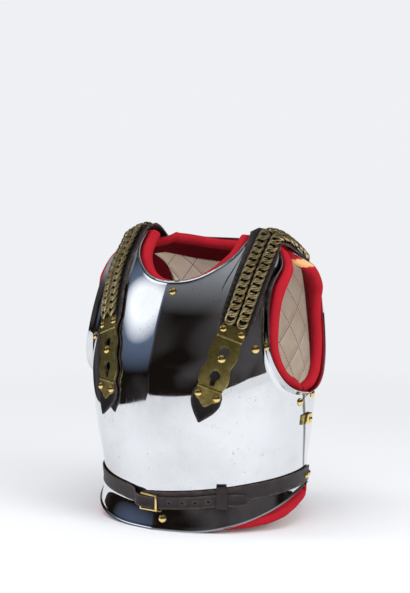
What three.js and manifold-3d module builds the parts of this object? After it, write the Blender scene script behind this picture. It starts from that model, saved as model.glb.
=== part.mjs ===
// Cavalry cuirass: breastplate and backplate with padded linings, chain-covered shoulder straps
// and a waist belt. Millimetres, +Z up, the wearer faces -Y, and the wearer's left is +X.
import * as THREE from "three";
import { mergeVertices } from "three/addons/utils/BufferGeometryUtils.js";
import Module from "manifold-3d";

const wasm = await Module();
wasm.setup();

// Driving dimensions
const BREAST_THICKNESS = 2.2;
const BACK_THICKNESS = 1.8;
const SEAM_GAP = 1.2;
const SEAT_GAP = 0.3;
const LINING_GAP = 2;
const FACING_THICKNESS = 4.4;
const LINING_THICKNESS = 4;
const LEATHER_THICKNESS = 3.4;
const CHAIN_THICKNESS = 6;
const BRASS_THICKNESS = 1.6;
const BELT_THICKNESS = 2.2;
const BELT_WIDTH = 24;
const FREE_END_WIDTH = 20;
const STUD_RADIUS = 6;
const CENTRE_SHIFT_Y = -1.04;

// Torso: one row for each level up the body. At the top level the front and back skins meet
// along the ridge of the shoulders.
const TOP = 480;
const SECTIONS = [
  { level: 0, height: 0, half: 156, backHalf: 156, front: 127, back: 146 },
  { level: 40, height: 40, half: 156, backHalf: 156, front: 127, back: 146 },
  { level: 88, height: 88, half: 160, backHalf: 160, front: 136, back: 149 },
  { level: 135, height: 135, half: 166, backHalf: 166, front: 146, back: 151 },
  { level: 187, height: 187, half: 171, backHalf: 171, front: 149, back: 153 },
  { level: 235, height: 235, half: 174, backHalf: 174.5, front: 146, back: 155 },
  { level: 285, height: 285, half: 172, backHalf: 174, front: 131, back: 155 },
  { level: 330, height: 330, half: 165, backHalf: 171, front: 111, back: 149 },
  { level: 375, height: 374, half: 154, backHalf: 165, front: 84, back: 133 },
  { level: 410, height: 407, half: 145, backHalf: 156, front: 57, back: 109 },
  { level: 440, height: 433, half: 139, backHalf: 146, front: 31, back: 74 },
  { level: 456, height: 444, half: 137, backHalf: 140.5, front: 18, back: 49 },
  { level: 468, height: 449, half: 135.5, backHalf: 137, front: 8.5, back: 25 },
  { level: TOP, height: 451, half: 134, backHalf: 134, front: 0, back: 0 },
];
const SQUARENESS = 0.05;
const CREASE_HEIGHT = 6;
const CREASE_WIDTH = 90;
const SHOULDER_DROP = 36;
const SHOULDER_DROP_FROM = 340;
const WAIST_LEVEL = 42;
const WAIST_RISE = 20;
const WAIST_FADE_FROM = 60;
const WAIST_FADE_LENGTH = 180;
const FLARE_SLOPE = 0.28;
const FLARE_RADIUS = 10;
const LIP_RISE = 52;
const LIP_FLAT_FRONT = 14;
const LIP_PEAK = 112;
const LIP_FLAT_BACK = 168;

// Edges of the plates, as degrees round the body and level. The backplate's degrees count from
// the middle of the back.
const NECKLINE_FRONT = [
  { degrees: 0, level: 361 },
  { degrees: 9, level: 363 },
  { degrees: 18.5, level: 372 },
  { degrees: 27.5, level: 388 },
  { degrees: 35, level: 407 },
  { degrees: 40, level: 432 },
  { degrees: 42, level: 455 },
];
const ARMHOLE_FRONT = [
  { degrees: 86, level: 194.6 },
  { degrees: 72, level: 208 },
  { degrees: 62.3, level: 235 },
  { degrees: 56.3, level: 272 },
  { degrees: 55.2, level: 308 },
  { degrees: 56.4, level: 341 },
  { degrees: 60.5, level: 372 },
  { degrees: 67.5, level: 399 },
  { degrees: 74, level: 428 },
  { degrees: 77, level: 455 },
];
const NECKLINE_BACK = [
  { degrees: 0, level: 412 },
  { degrees: 12, level: 413 },
  { degrees: 24, level: 417 },
  { degrees: 34, level: 424 },
  { degrees: 40, level: 430 },
  { degrees: 42, level: 434 },
];
const ARMHOLE_BACK = [
  { degrees: 82, level: 195.4 },
  { degrees: 69, level: 213 },
  { degrees: 60.5, level: 243 },
  { degrees: 56.5, level: 280 },
  { degrees: 55.5, level: 316 },
  { degrees: 57, level: 350 },
  { degrees: 61, level: 384 },
  { degrees: 66, level: 410 },
  { degrees: 72, level: 434 },
];

// The same edges of the canvas inside each facing
const NECKLINE_FRONT_CANVAS = [
  { degrees: 0, level: 322 },
  { degrees: 10, level: 325 },
  { degrees: 20, level: 334 },
  { degrees: 30, level: 352 },
  { degrees: 38, level: 376 },
  { degrees: 44.5, level: 402 },
  { degrees: 49, level: 425 },
];
const ARMHOLE_FRONT_CANVAS = [
  { degrees: 76, level: 174 },
  { degrees: 60, level: 190 },
  { degrees: 50, level: 224 },
  { degrees: 44.5, level: 268 },
  { degrees: 43.5, level: 308 },
  { degrees: 44.8, level: 341 },
  { degrees: 48.5, level: 372 },
  { degrees: 54.5, level: 400 },
  { degrees: 61, level: 425 },
];
const NECKLINE_BACK_CANVAS = [
  { degrees: 0, level: 376 },
  { degrees: 12, level: 377 },
  { degrees: 24, level: 381 },
  { degrees: 34, level: 388 },
  { degrees: 43, level: 397 },
  { degrees: 49, level: 404 },
];
const ARMHOLE_BACK_CANVAS = [
  { degrees: 72, level: 175 },
  { degrees: 57, level: 195 },
  { degrees: 49, level: 235 },
  { degrees: 45, level: 280 },
  { degrees: 44, level: 316 },
  { degrees: 45.5, level: 350 },
  { degrees: 50, level: 380 },
  { degrees: 57, level: 404 },
];
const SEAM_DEGREES = 92;
const SEAM_LEVEL = 187;
const SEAM_SLANT = 0.115;

const radians = THREE.MathUtils.degToRad;
const lerp = THREE.MathUtils.lerp;
const clamp = THREE.MathUtils.clamp;

function smooth(value) {
  const t = clamp(value, 0, 1);
  return t * t * (3 - 2 * t);
}

// Natural cubic spline through the points xs, ys
function spline(xs, ys) {
  const last = xs.length - 1;
  const diagonal = [1];
  const right = [0];
  const upper = [0];
  for (let i = 1; i < last; i += 1) {
    const before = xs[i] - xs[i - 1];
    const after = xs[i + 1] - xs[i];
    const bend = 6 * ((ys[i + 1] - ys[i]) / after - (ys[i] - ys[i - 1]) / before);
    const factor = before / diagonal[i - 1];
    diagonal[i] = 2 * (before + after) - factor * upper[i - 1];
    right[i] = bend - factor * right[i - 1];
    upper[i] = after;
  }
  const curve = new Array(last + 1).fill(0);
  for (let i = last - 1; i > 0; i -= 1) {
    curve[i] = (right[i] - upper[i] * curve[i + 1]) / diagonal[i];
  }
  return (x) => {
    let i = 0;
    while (i < last - 1 && x > xs[i + 1]) i += 1;
    const width = xs[i + 1] - xs[i];
    const ahead = xs[i + 1] - x;
    const past = x - xs[i];
    const cubic = (curve[i] * ahead ** 3 + curve[i + 1] * past ** 3) / (6 * width);
    const start = (ys[i] / width - (curve[i] * width) / 6) * ahead;
    const end = (ys[i + 1] / width - (curve[i + 1] * width) / 6) * past;
    return cubic + start + end;
  };
}

function column(table, key) {
  return table.map((row) => row[key]);
}

// Straight-line value of a table's column at x
function tableValue(table, from, to, x) {
  let i = 0;
  while (i < table.length - 2 && x > table[i + 1][from]) i += 1;
  const share = (x - table[i][from]) / (table[i + 1][from] - table[i][from]);
  return lerp(table[i][to], table[i + 1][to], clamp(share, 0, 1));
}

const levels = column(SECTIONS, "level");
const heightAt = spline(levels, column(SECTIONS, "height"));
const halfAt = spline(levels, column(SECTIONS, "half"));
const backHalfAt = spline(levels, column(SECTIONS, "backHalf"));
const frontAt = spline(levels, column(SECTIONS, "front"));
const backAt = spline(levels, column(SECTIONS, "back"));

function waistLevel(sine) {
  return WAIST_LEVEL + WAIST_RISE * sine * sine;
}

// The lower rim arches up over each hip and lies flat at the front and back middle
function lipLevel(degrees) {
  const turn = Math.abs(degrees);
  if (turn <= LIP_PEAK) return LIP_RISE * smooth((turn - LIP_FLAT_FRONT) / (LIP_PEAK - LIP_FLAT_FRONT));
  return LIP_RISE * smooth((LIP_FLAT_BACK - turn) / (LIP_FLAT_BACK - LIP_PEAK));
}

function seamDegrees(level) {
  return SEAM_DEGREES + (SEAM_LEVEL - level) * SEAM_SLANT;
}

// A point of the torso's skin. Past the top level it runs on down the other side.
function torso(degrees, level) {
  const over = level > TOP;
  const angle = radians(over ? 180 - degrees : degrees);
  const t = over ? 2 * TOP - level : level;
  const sine = Math.sin(angle);
  const cosine = Math.cos(angle);
  const fade = 1 - smooth((t - WAIST_FADE_FROM) / WAIST_FADE_LENGTH);
  const shifted = t - (waistLevel(sine) - WAIST_LEVEL) * fade;
  const below = Math.max(waistLevel(sine) - t, 0);
  const flare = FLARE_SLOPE * (Math.hypot(below, FLARE_RADIUS) - FLARE_RADIUS);
  const half = (cosine >= 0 ? halfAt(shifted) : backHalfAt(shifted)) + flare;
  const depth = (cosine >= 0 ? frontAt(shifted) : backAt(shifted)) + flare;
  const x = half * sine * (1 + SQUARENESS * cosine * cosine);
  const crease = cosine > 0 ? CREASE_HEIGHT * Math.max(1 - Math.abs(x) / CREASE_WIDTH, 0) ** 2 : 0;
  const creaseFade = 1 - smooth((t - SHOULDER_DROP_FROM) / (TOP - SHOULDER_DROP_FROM));
  const y = -depth * cosine * (1 + SQUARENESS * sine * sine) - crease * creaseFade;
  const drop = SHOULDER_DROP * sine * sine * smooth((t - SHOULDER_DROP_FROM) / (TOP - SHOULDER_DROP_FROM));
  return new THREE.Vector3(x, y + CENTRE_SHIFT_Y, heightAt(t) - drop);
}

function torsoNormal(degrees, level) {
  const step = 0.05;
  const round = torso(degrees + step, level).sub(torso(degrees - step, level));
  const up = torso(degrees, level + step).sub(torso(degrees, level - step));
  return round.cross(up).normalize();
}

function skin(degrees, level, out) {
  return torso(degrees, level).addScaledVector(torsoNormal(degrees, level), out);
}

// Geometry of one closed body from its corners and faces, turned outwards
function solid(corners, faces) {
  let volume = 0;
  const across = new THREE.Vector3();
  for (const [a, b, c] of faces) {
    volume += corners[a].dot(across.crossVectors(corners[b], corners[c]));
  }
  const geometry = new THREE.BufferGeometry();
  const numbers = corners.flatMap((corner) => corner.toArray());
  geometry.setAttribute("position", new THREE.Float32BufferAttribute(numbers, 3));
  geometry.setIndex(faces.flatMap(([a, b, c]) => (volume > 0 ? [a, b, c] : [a, c, b])));
  geometry.computeVertexNormals();
  return geometry;
}

// A sheet with thickness: a grid of outer points, the matching inner points and the edges between
function sheet(columns, rows, outer, inner) {
  const corners = [];
  for (const side of [outer, inner]) {
    for (let j = 0; j < rows; j += 1) {
      for (let i = 0; i < columns; i += 1) corners.push(side(i, j));
    }
  }
  const count = columns * rows;
  const faces = [];
  const quad = (a, b, c, d) => faces.push([a, b, c], [a, c, d]);
  for (let j = 0; j + 1 < rows; j += 1) {
    for (let i = 0; i + 1 < columns; i += 1) {
      const a = j * columns + i;
      const [b, c, d] = [a + 1, a + 1 + columns, a + columns];
      // The two halves are cut along mirrored diagonals
      if (i < (columns - 1) / 2) {
        quad(b, c, d, a);
        quad(count + d, count + c, count + b, count + a);
      } else {
        quad(a, b, c, d);
        quad(count + a, count + d, count + c, count + b);
      }
    }
  }
  for (let i = 0; i + 1 < columns; i += 1) {
    const top = (rows - 1) * columns + i;
    quad(i, count + i, count + i + 1, i + 1);
    quad(top, top + 1, count + top + 1, count + top);
  }
  for (let j = 0; j + 1 < rows; j += 1) {
    const left = j * columns;
    const end = left + columns - 1;
    quad(left, left + columns, count + left + columns, count + left);
    quad(end, count + end, count + end + columns, end + columns);
  }
  return solid(corners, faces);
}

// A closed hoop: the same closed section at each station
function hoop(stations) {
  const size = stations[0].length;
  const faces = [];
  stations.forEach((station, k) => {
    const next = (k + 1) % stations.length;
    const mirrored = k >= stations.length / 2;
    for (let i = 0; i < size; i += 1) {
      const j = (i + 1) % size;
      const [a, b, c, d] = [k * size + i, k * size + j, next * size + j, next * size + i];
      faces.push(...(mirrored ? [[b, c, d], [b, d, a]] : [[a, b, c], [a, c, d]]));
    }
  });
  return solid(stations.flat(), faces);
}

// Turned edges: how far each step of a rim reaches past the plate's edge, and how far it stands out
const SEAM_LAP = 1.5;
const SIDE_RADIUS = 168;
const LIP_BEAD = { reach: 4, out: 3 };
const PLATE_MARGINS = { foot: 193, seam: SEAM_GAP / 2 + SEAM_LAP, lip: LIP_BEAD.reach };
const CANVAS_MARGINS = { foot: 171, seam: 28, lip: 46 };
const NECK_RIM = [
  { reach: 1.8, out: 0.6 },
  { reach: 3, out: 2.4 },
];
const ARM_FLANGE = [
  { reach: 3, out: 1.2 },
  { reach: 4.9, out: 3.6 },
  { reach: 8.3, out: 11 },
];
const FLANGE_FADE = 0.08;
const NECK_RIM_FADE = 0.1;

// One half of a plate as a patch: u runs from the middle to the side, v from the lip to the top.
// The top edge is the neckline and then the shoulder; the side edge is the seam and then the arm hole.
const NECK_SHARE = 0.6;
const SEAM_SHARE = 0.4;
const CORNER_STEP = 0.008;
const COLUMN_SHARES = [0, 0.13, 0.28, 0.4, 0.5, NECK_SHARE, 0.73, 0.857, 0.93, 1];
const ROW_SHARES = [
  0, 0.04, 0.08, 0.12, 0.18, 0.28, SEAM_SHARE - CORNER_STEP, SEAM_SHARE,
  0.44, 0.49, 0.57, 0.65, 0.73, 0.81, 0.88, 0.93, 0.97, 1,
];

function edgeCurve(table) {
  const along = [0];
  for (let i = 1; i < table.length; i += 1) {
    const before = torso(table[i - 1].degrees, table[i - 1].level);
    const after = torso(table[i].degrees, table[i].level);
    along.push(along[i - 1] + before.distanceTo(after));
  }
  const total = along[along.length - 1];
  const degreesAt = spline(along, column(table, "degrees"));
  const levelAt = spline(along, column(table, "level"));
  return (share) => [degreesAt(share * total), levelAt(share * total)];
}

function makePatch(neckline, armhole, margins, back) {
  const bodyDegrees = (own) => (back ? 180 - own : own);
  const margin = THREE.MathUtils.radToDeg(margins.seam / SIDE_RADIUS);
  const seam = (level) => bodyDegrees(seamDegrees(level)) - margin;
  const lip = (own) => lipLevel(bodyDegrees(own)) + margins.lip;
  const neck = edgeCurve(neckline);
  const arm = edgeCurve([{ degrees: seam(margins.foot), level: margins.foot }, ...armhole]);
  const [neckEnd] = neckline.slice(-1);
  const [armEnd] = armhole.slice(-1);
  const hipLevel = lip(seam(LIP_RISE));
  const bottom = (u) => [u * seam(hipLevel), lip(u * seam(hipLevel))];
  const middle = (v) => [0, lerp(lip(0), neckline[0].level, v)];
  const top = (u) => {
    if (u <= NECK_SHARE) return neck(u / NECK_SHARE);
    const share = (u - NECK_SHARE) / (1 - NECK_SHARE);
    return [lerp(neckEnd.degrees, armEnd.degrees, share), neckEnd.level];
  };
  const side = (v) => {
    if (v >= SEAM_SHARE) return arm((v - SEAM_SHARE) / (1 - SEAM_SHARE));
    const level = lerp(lip(seam(hipLevel)), margins.foot, v / SEAM_SHARE);
    return [seam(level), level];
  };
  const place = (u, v) => {
    const point = [0, 1].map((k) => {
      const rows = lerp(bottom(u)[k], top(u)[k], v) + lerp(middle(v)[k], side(v)[k], u);
      const corners = lerp(lerp(bottom(0)[k], bottom(1)[k], u), lerp(top(0)[k], top(1)[k], u), v);
      return rows - corners;
    });
    return [bodyDegrees(point[0]), point[1]];
  };
  const at = (u, v, out = 0) => {
    const [degrees, level] = place(u, v);
    const point = skin(degrees, level, out);
    if (u === 0) point.x = 0;
    return point;
  };
  return { place, at, facing: back ? -1 : 1 };
}

// Where a point of the patch's edge is, which way leads off the plate, and which way is out.
// At the foot of the arm hole it leads straight up the seam, so that both plates' rims end flush.
function edgeFrame(patch, u, v, side) {
  const step = 0.002;
  const [degrees, level] = patch.place(u, v);
  const normal = torsoNormal(degrees, level);
  const here = patch.at(u, v);
  if (side === "side" && v >= SEAM_SHARE && v < SEAM_SHARE + CORNER_STEP) {
    const upwards = patch.at(1, SEAM_SHARE).sub(patch.at(1, SEAM_SHARE - step));
    return { here, reach: upwards.addScaledVector(normal, -upwards.dot(normal)).normalize(), normal };
  }
  const lowV = Math.max(v - step, 0);
  const across = side === "side";
  const inwards = across ? patch.at(u - step, v) : patch.at(u, side === "top" ? v - step : v + step);
  const before = across ? patch.at(u, lowV) : patch.at(Math.max(u - step, 0), v);
  const after = across ? patch.at(u, Math.min(v + step, 1)) : patch.at(Math.min(u + step, 1), v);
  const along = after.sub(before).normalize();
  const reach = here.clone().sub(inwards);
  reach.addScaledVector(normal, -reach.dot(normal));
  reach.addScaledVector(along, -reach.dot(along));
  if (u === 0) reach.x = 0;
  return { here, reach: reach.normalize(), normal };
}

// The mirrored whole of a half grid, as a sheet
function mirroredSheet(outer, inner) {
  const last = outer[0].length - 1;
  const pick = (grid) => (i, j) => {
    const point = grid[j][Math.abs(i - last)].clone();
    if (i < last) point.x = -point.x;
    return point;
  };
  return sheet(2 * last + 1, outer.length, pick(outer), pick(inner));
}

// A steel plate: the patch's grid with its rims, thickened inwards
function plate(patch, thickness) {
  const lastColumn = COLUMN_SHARES.length - 1;
  const lastRow = ROW_SHARES.length - 1;
  const outer = [];
  for (let row = -1; row <= lastRow + NECK_RIM.length; row += 1) {
    const v = ROW_SHARES[clamp(row, 0, lastRow)];
    const points = [];
    for (let i = 0; i <= lastColumn + ARM_FLANGE.length; i += 1) {
      const u = COLUMN_SHARES[Math.min(i, lastColumn)];
      const point = patch.at(u, v);
      if (i > lastColumn) {
        const step = ARM_FLANGE[i - lastColumn - 1];
        const plain = (SEAM_LAP * (i - lastColumn)) / ARM_FLANGE.length;
        const frame = edgeFrame(patch, 1, v, "side");
        const full = v < SEAM_SHARE ? 0 : smooth((1 - v) / FLANGE_FADE);
        point.addScaledVector(frame.reach, lerp(plain, step.reach, full));
        point.addScaledVector(frame.normal, step.out * full);
      }
      if (row > lastRow) {
        const step = NECK_RIM[row - lastRow - 1];
        const plain = (SEAM_LAP * (row - lastRow)) / NECK_RIM.length;
        const frame = edgeFrame(patch, u, 1, "top");
        const full = smooth((NECK_SHARE - u) / NECK_RIM_FADE);
        point.addScaledVector(frame.reach, lerp(plain, step.reach, full));
        point.addScaledVector(frame.normal, step.out * full);
      }
      if (row < 0) point.addScaledVector(edgeFrame(patch, u, 0, "bottom").normal, LIP_BEAD.out);
      if (i === 0) point.x = 0;
      points.push(point);
    }
    outer.push(points);
  }
  const footRow = 1 + ROW_SHARES.indexOf(SEAM_SHARE);
  const inner = outer.map((points, j) => points.map((point, i) => {
    const round = points[Math.min(i + 1, points.length - 1)].clone().sub(points[Math.max(i - 1, 0)]);
    const above = outer[j === footRow - 1 ? j : Math.min(j + 1, outer.length - 1)];
    const below = outer[j === footRow ? j : Math.max(j - 1, 0)];
    const up = above[i].clone().sub(below[i]);
    const normal = round.cross(up);
    if (i === 0) normal.x = 0;
    return point.clone().addScaledVector(normal.normalize(), -thickness * patch.facing);
  }));
  // The bottom face is level across the steel, so that the plate stands on it
  outer[0].forEach((point, i) => {
    const [degrees, level] = patch.place(COLUMN_SHARES[Math.min(i, lastColumn)], 0);
    point.z = level - LIP_BEAD.reach;
    const outwards = torsoNormal(degrees, level).setZ(0).normalize();
    inner[0][i] = point.clone().addScaledVector(outwards, -thickness);
    if (i === 0) inner[0][i].x = 0;
  });
  return mirroredSheet(outer, inner);
}

// The facing lies between the plate's edge and the canvas, folded along these shares of its width
const FACING_FOLDS = [0.94, 0.6, 0.28];

// Rolls along each edge: radius, how far the middle reaches past the edge, and how far out it sits
const FLAT_ROLL = { radius: 2.2, reach: -3, out: -6.7 };
const NECK_ROLL = { radius: 8, reach: 3, rise: 9, out: -12.2, sideOut: -9.5 };
const SHOULDER_ROLL = { radius: 6.5, reach: 3, out: -9.4 };
const FRONT_ARM_ROLLS = [
  { v: 0.4, radius: 7, reach: 9.5, out: -7.6 },
  { v: 0.47, radius: 8, reach: 19, out: -4.5 },
  { v: 0.72, radius: 8, reach: 20.5, out: -4 },
  { v: 0.8, radius: 8, reach: 21.5, out: -1 },
  { v: 0.87, radius: 8, reach: 22, out: 3.5 },
  { v: 0.94, radius: 8, reach: 19.5, out: 3.5 },
  { v: 1, radius: 6.5, reach: 8, out: -8 },
];
const BACK_ARM_ROLLS = [
  { v: 0.4, radius: 7, reach: 9.5, out: -7.6 },
  { v: 0.47, radius: 8, reach: 13.8, out: -3 },
  { v: 0.72, radius: 8, reach: 13.8, out: -3 },
  { v: 0.8, radius: 8, reach: 16.5, out: 0 },
  { v: 0.87, radius: 8, reach: 19.5, out: 4.5 },
  { v: 0.94, radius: 8, reach: 18.5, out: 3.5 },
  { v: 1, radius: 6.5, reach: 8, out: -8 },
];
const LIP_ROLL = { radius: 7.5, reach: -8, drop: 25, out: -12, sideOut: -6 };
const LIP_ROLL_FROM = 20;
const LIP_ROLL_TO = 80;
const END_STEP = 0.004;
const ROLL_SIDES = 6;
const ROLL_NECK = radians(36);

function neckRoll(u) {
  const rise = smooth(u / NECK_SHARE);
  return {
    radius: NECK_ROLL.radius,
    reach: NECK_ROLL.reach + NECK_ROLL.rise * rise,
    out: lerp(NECK_ROLL.out, NECK_ROLL.sideOut, rise),
  };
}

function armRoll(patch, v) {
  const table = patch.facing > 0 ? FRONT_ARM_ROLLS : BACK_ARM_ROLLS;
  const [radius, reach, out] = ["radius", "reach", "out"].map((key) => tableValue(table, "v", key, v));
  return { radius, reach, out };
}

function lipRoll(patch, u) {
  const [degrees] = patch.place(u, 0);
  const own = patch.facing > 0 ? degrees : 180 - degrees;
  const fall = smooth((own - LIP_ROLL_FROM) / (LIP_ROLL_TO - LIP_ROLL_FROM));
  return {
    radius: LIP_ROLL.radius,
    reach: LIP_ROLL.reach + LIP_ROLL.drop * fall,
    out: lerp(LIP_ROLL.out, LIP_ROLL.sideOut, fall),
  };
}

// The stations of half an edging, from the middle of the neck round to the middle of the lip
function edgingStations(patch) {
  const columns = COLUMN_SHARES.slice(1, -1);
  const neck = [0, ...columns.filter((u) => u < NECK_SHARE), NECK_SHARE - END_STEP];
  const shoulder = [NECK_SHARE + END_STEP, ...columns.filter((u) => u > NECK_SHARE), 1 - END_STEP];
  const armRows = ROW_SHARES.filter((v) => v > SEAM_SHARE && v < 1);
  const arm = [1 - END_STEP, ...armRows.reverse(), SEAM_SHARE + END_STEP];
  const seam = [SEAM_SHARE - 0.5 * CORNER_STEP, 0.28, 0.12, END_STEP];
  const lip = [1 - END_STEP, ...columns.reverse(), 0];
  return [
    ...neck.map((u) => ({ u, v: 1, side: "top", roll: neckRoll(u) })),
    ...shoulder.map((u) => ({ u, v: 1, side: "top", roll: SHOULDER_ROLL })),
    ...arm.map((v) => ({ u: 1, v, side: "side", roll: armRoll(patch, v) })),
    ...seam.map((v) => ({ u: 1, v, side: "side", roll: FLAT_ROLL })),
    ...lip.map((u) => ({ u, v: 0, side: "bottom", roll: lipRoll(patch, u) })),
  ];
}

function edgingSection(patch, canvas, thickness, station) {
  const { u, v, side, roll } = station;
  const faceOut = -thickness - LINING_GAP;
  const faceIn = faceOut - FACING_THICKNESS;
  const [edgeDegrees, edgeLevel] = patch.place(u, v);
  const [canvasDegrees, canvasLevel] = canvas.place(u, v);
  const facing = (share, out) => skin(
    lerp(edgeDegrees, canvasDegrees, share),
    lerp(edgeLevel, canvasLevel, share),
    out,
  );
  const frame = edgeFrame(patch, u, v, side);
  const rise = (out) => Math.asin(clamp((out - roll.out) / roll.radius, -0.98, 0.98));
  const middle = (rise(faceOut) + rise(faceIn)) / 2;
  const spread = Math.max((rise(faceOut) - rise(faceIn)) / 2, ROLL_NECK / 2);
  const start = Math.PI - middle - spread;
  const end = -Math.PI - middle + spread;
  const points = FACING_FOLDS.map((share) => facing(share, faceOut));
  for (let k = 0; k <= ROLL_SIDES; k += 1) {
    const angle = lerp(start, end, k / ROLL_SIDES);
    const point = frame.here.clone();
    point.addScaledVector(frame.reach, roll.reach + roll.radius * Math.cos(angle));
    point.addScaledVector(frame.normal, roll.out + roll.radius * Math.sin(angle));
    points.push(point);
  }
  points.push(...FACING_FOLDS.toReversed().map((share) => facing(share, faceIn)));
  if (u === 0) points.forEach((point) => point.setX(0));
  return points;
}

function edging(patch, canvas, thickness) {
  const half = edgingStations(patch).map((station) => edgingSection(patch, canvas, thickness, station));
  const mirrored = half.slice(1, -1).reverse();
  return hoop([...half, ...mirrored.map((points) => points.map((p) => new THREE.Vector3(-p.x, p.y, p.z)))]);
}

function lining(canvas, thickness) {
  const out = -thickness - LINING_GAP;
  const rows = ROW_SHARES.filter((v) => v !== SEAM_SHARE - CORNER_STEP);
  const grid = (height) => rows.map((v) => COLUMN_SHARES.map((u) => canvas.at(u, v, height)));
  return mirroredSheet(grid(out), grid(out - LINING_THICKNESS));
}

// Shoulder straps. Each lies along a line of degrees by level, which runs on over the shoulder.
// Positions on a strap are millimetres below its upper rib, and across towards the wearer's left.
const STRAP_LINE_LEFT = [
  { level: 150, degrees: 24 },
  { level: 169, degrees: 26 },
  { level: 208, degrees: 29.8 },
  { level: 240, degrees: 33.2 },
  { level: 272, degrees: 36.6 },
  { level: 330, degrees: 43.4 },
  { level: 375, degrees: 49.2 },
  { level: 440, degrees: 57.5 },
  { level: TOP, degrees: 60.3 },
  { level: 530, degrees: 56.5 },
  { level: 590, degrees: 49 },
];
const STRAP_LINE_RIGHT = [
  { level: 150, degrees: 28.4 },
  { level: 169, degrees: 28.2 },
  { level: 208, degrees: 26.8 },
  { level: 240, degrees: 26.6 },
  { level: 272, degrees: 29.8 },
  { level: 330, degrees: 37 },
  { level: 375, degrees: 44.8 },
  { level: 440, degrees: 55.8 },
  { level: TOP, degrees: 60.3 },
  { level: 530, degrees: 56.5 },
  { level: 590, degrees: 49 },
];
const UPPER_RIB_LEVEL = 286;
const LOWER_RIB = 76;
const RIB_HALF = 1.2;
const RIB_SLOPE = 0.5;
const RIB_HEIGHT = 1.6;
const STRAP_SEAT = 1.5;
const BRASS_SEAT = STRAP_SEAT + LEATHER_THICKNESS + SEAT_GAP;
const CHAIN_START = -18;
const CHAIN_END = -262;
const TIP_LIFT_FROM = 88;
const TIP_LIFT = 8;
const LEATHER_OUTLINE = [
  { along: -288, half: 12 },
  { along: -284, half: 19 },
  { along: -274, half: 22 },
  { along: -250, half: 24.5 },
  { along: -30, half: 24.5 },
  { along: -16, half: 23.5 },
  { along: -4, half: 18.2 },
  { along: 4, half: 17 },
  { along: 22, half: 20 },
  { along: 43, half: 16.6 },
  { along: 60, half: 21 },
  { along: 75, half: 17 },
  { along: 85, half: 21.6 },
  { along: 95, half: 22 },
  { along: 105, half: 18.5 },
  { along: 115, half: 11.5 },
  { along: 123, half: 4 },
  { along: 126, half: 1.2 },
];
const BRASS_OUTLINE = [
  { along: -20, half: 16.5 },
  { along: -12, half: 18.8 },
  { along: -2, half: 18.6 },
  { along: 2, half: 18.2 },
  { along: 12, half: 20 },
  { along: 22, half: 21.2 },
  { along: 33, half: 19.8 },
  { along: 43, half: 17.6 },
  { along: 52, half: 20.6 },
  { along: 60, half: 22 },
  { along: 68, half: 20.4 },
  { along: 74, half: 18 },
  { along: 78, half: 18 },
  { along: 87, half: 19.3 },
  { along: 93, half: 15 },
  { along: 96, half: 9 },
  { along: 99, half: 6.5 },
  { along: 103, half: 1.2 },
];
const KEYHOLES = [20, 56];
const KEYHOLE_RADIUS = 7.2;
const KEYHOLE_SLOT_HALF = 3.8;
const KEYHOLE_SLOT_LENGTH = 15.5;
const KEYHOLE_SIDES = 7;
const ROW_STEP = 19;
const RIDGE_STEP = 7;
const RIDGE_FROM = -215;
const RIDGE_TO = -120;

// The strap's map from (across, along, height) to the body, with the strap's own line as its middle
function strapMap(line, mirror) {
  const sampleStep = 2;
  const degreesAt = spline(column(line, "level"), column(line, "degrees"));
  const [first, last] = [line[0].level, line[line.length - 1].level];
  const samples = [];
  for (let level = first; level <= last; level += sampleStep) {
    const point = torso(degreesAt(level), level);
    const before = samples[samples.length - 1];
    const length = before ? before.length + before.point.distanceTo(point) : 0;
    samples.push({ level, point, length });
  }
  const ribLength = tableValue(samples, "level", "length", UPPER_RIB_LEVEL);
  return (across, along, height) => {
    const level = tableValue(samples, "length", "level", ribLength - along);
    const degrees = degreesAt(level);
    const step = 0.5;
    const up = torso(degreesAt(level + step), level + step).sub(torso(degreesAt(level - step), level - step));
    const normal = torsoNormal(degrees, level);
    const sideways = up.normalize().clone().cross(normal).normalize();
    const perDegree = torso(degrees + step, level).sub(torso(degrees - step, level));
    const perLevel = torso(degrees, level + step).sub(torso(degrees, level - step));
    const [aa, ab, bb] = [perDegree.dot(perDegree), perDegree.dot(perLevel), perLevel.dot(perLevel)];
    const [a, b] = [perDegree.dot(sideways), perLevel.dot(sideways)];
    const whole = aa * bb - ab * ab;
    const own = mirror ? -across : across;
    const turn = (own * (a * bb - b * ab)) / whole;
    const rise = (own * (b * aa - a * ab)) / whole;
    const past = Math.max(along - TIP_LIFT_FROM, 0) / (LEATHER_OUTLINE.at(-1).along - TIP_LIFT_FROM);
    const lift = TIP_LIFT * past ** 2;
    const point = skin(degrees + turn, level + rise, height + lift);
    if (mirror) point.x = -point.x;
    return point;
  };
}

function toManifold(geometry) {
  const merged = geometry.clone();
  for (const name of ["normal", "uv"]) merged.deleteAttribute(name);
  const whole = mergeVertices(merged, 1e-4);
  const vertProperties = new Float32Array(whole.attributes.position.array);
  const triVerts = new Uint32Array(whole.index.array);
  return new wasm.Manifold(new wasm.Mesh({ numProp: 3, vertProperties, triVerts }));
}

function fromManifold(body) {
  const mesh = body.getMesh();
  const geometry = new THREE.BufferGeometry();
  geometry.setAttribute("position", new THREE.BufferAttribute(new Float32Array(mesh.vertProperties), 3));
  geometry.setIndex(new THREE.BufferAttribute(new Uint32Array(mesh.triVerts), 1));
  return geometry;
}

// Flat geometry laid on a strap: x is across, y along, z height
function laid(geometry, map) {
  const { position } = geometry.attributes;
  const corners = [];
  for (let i = 0; i < position.count; i += 1) {
    corners.push(map(position.getX(i), position.getY(i), position.getZ(i)));
  }
  const index = geometry.index.array;
  const faces = [];
  for (let i = 0; i < index.length; i += 3) faces.push([index[i], index[i + 1], index[i + 2]]);
  return solid(corners, faces);
}

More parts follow.
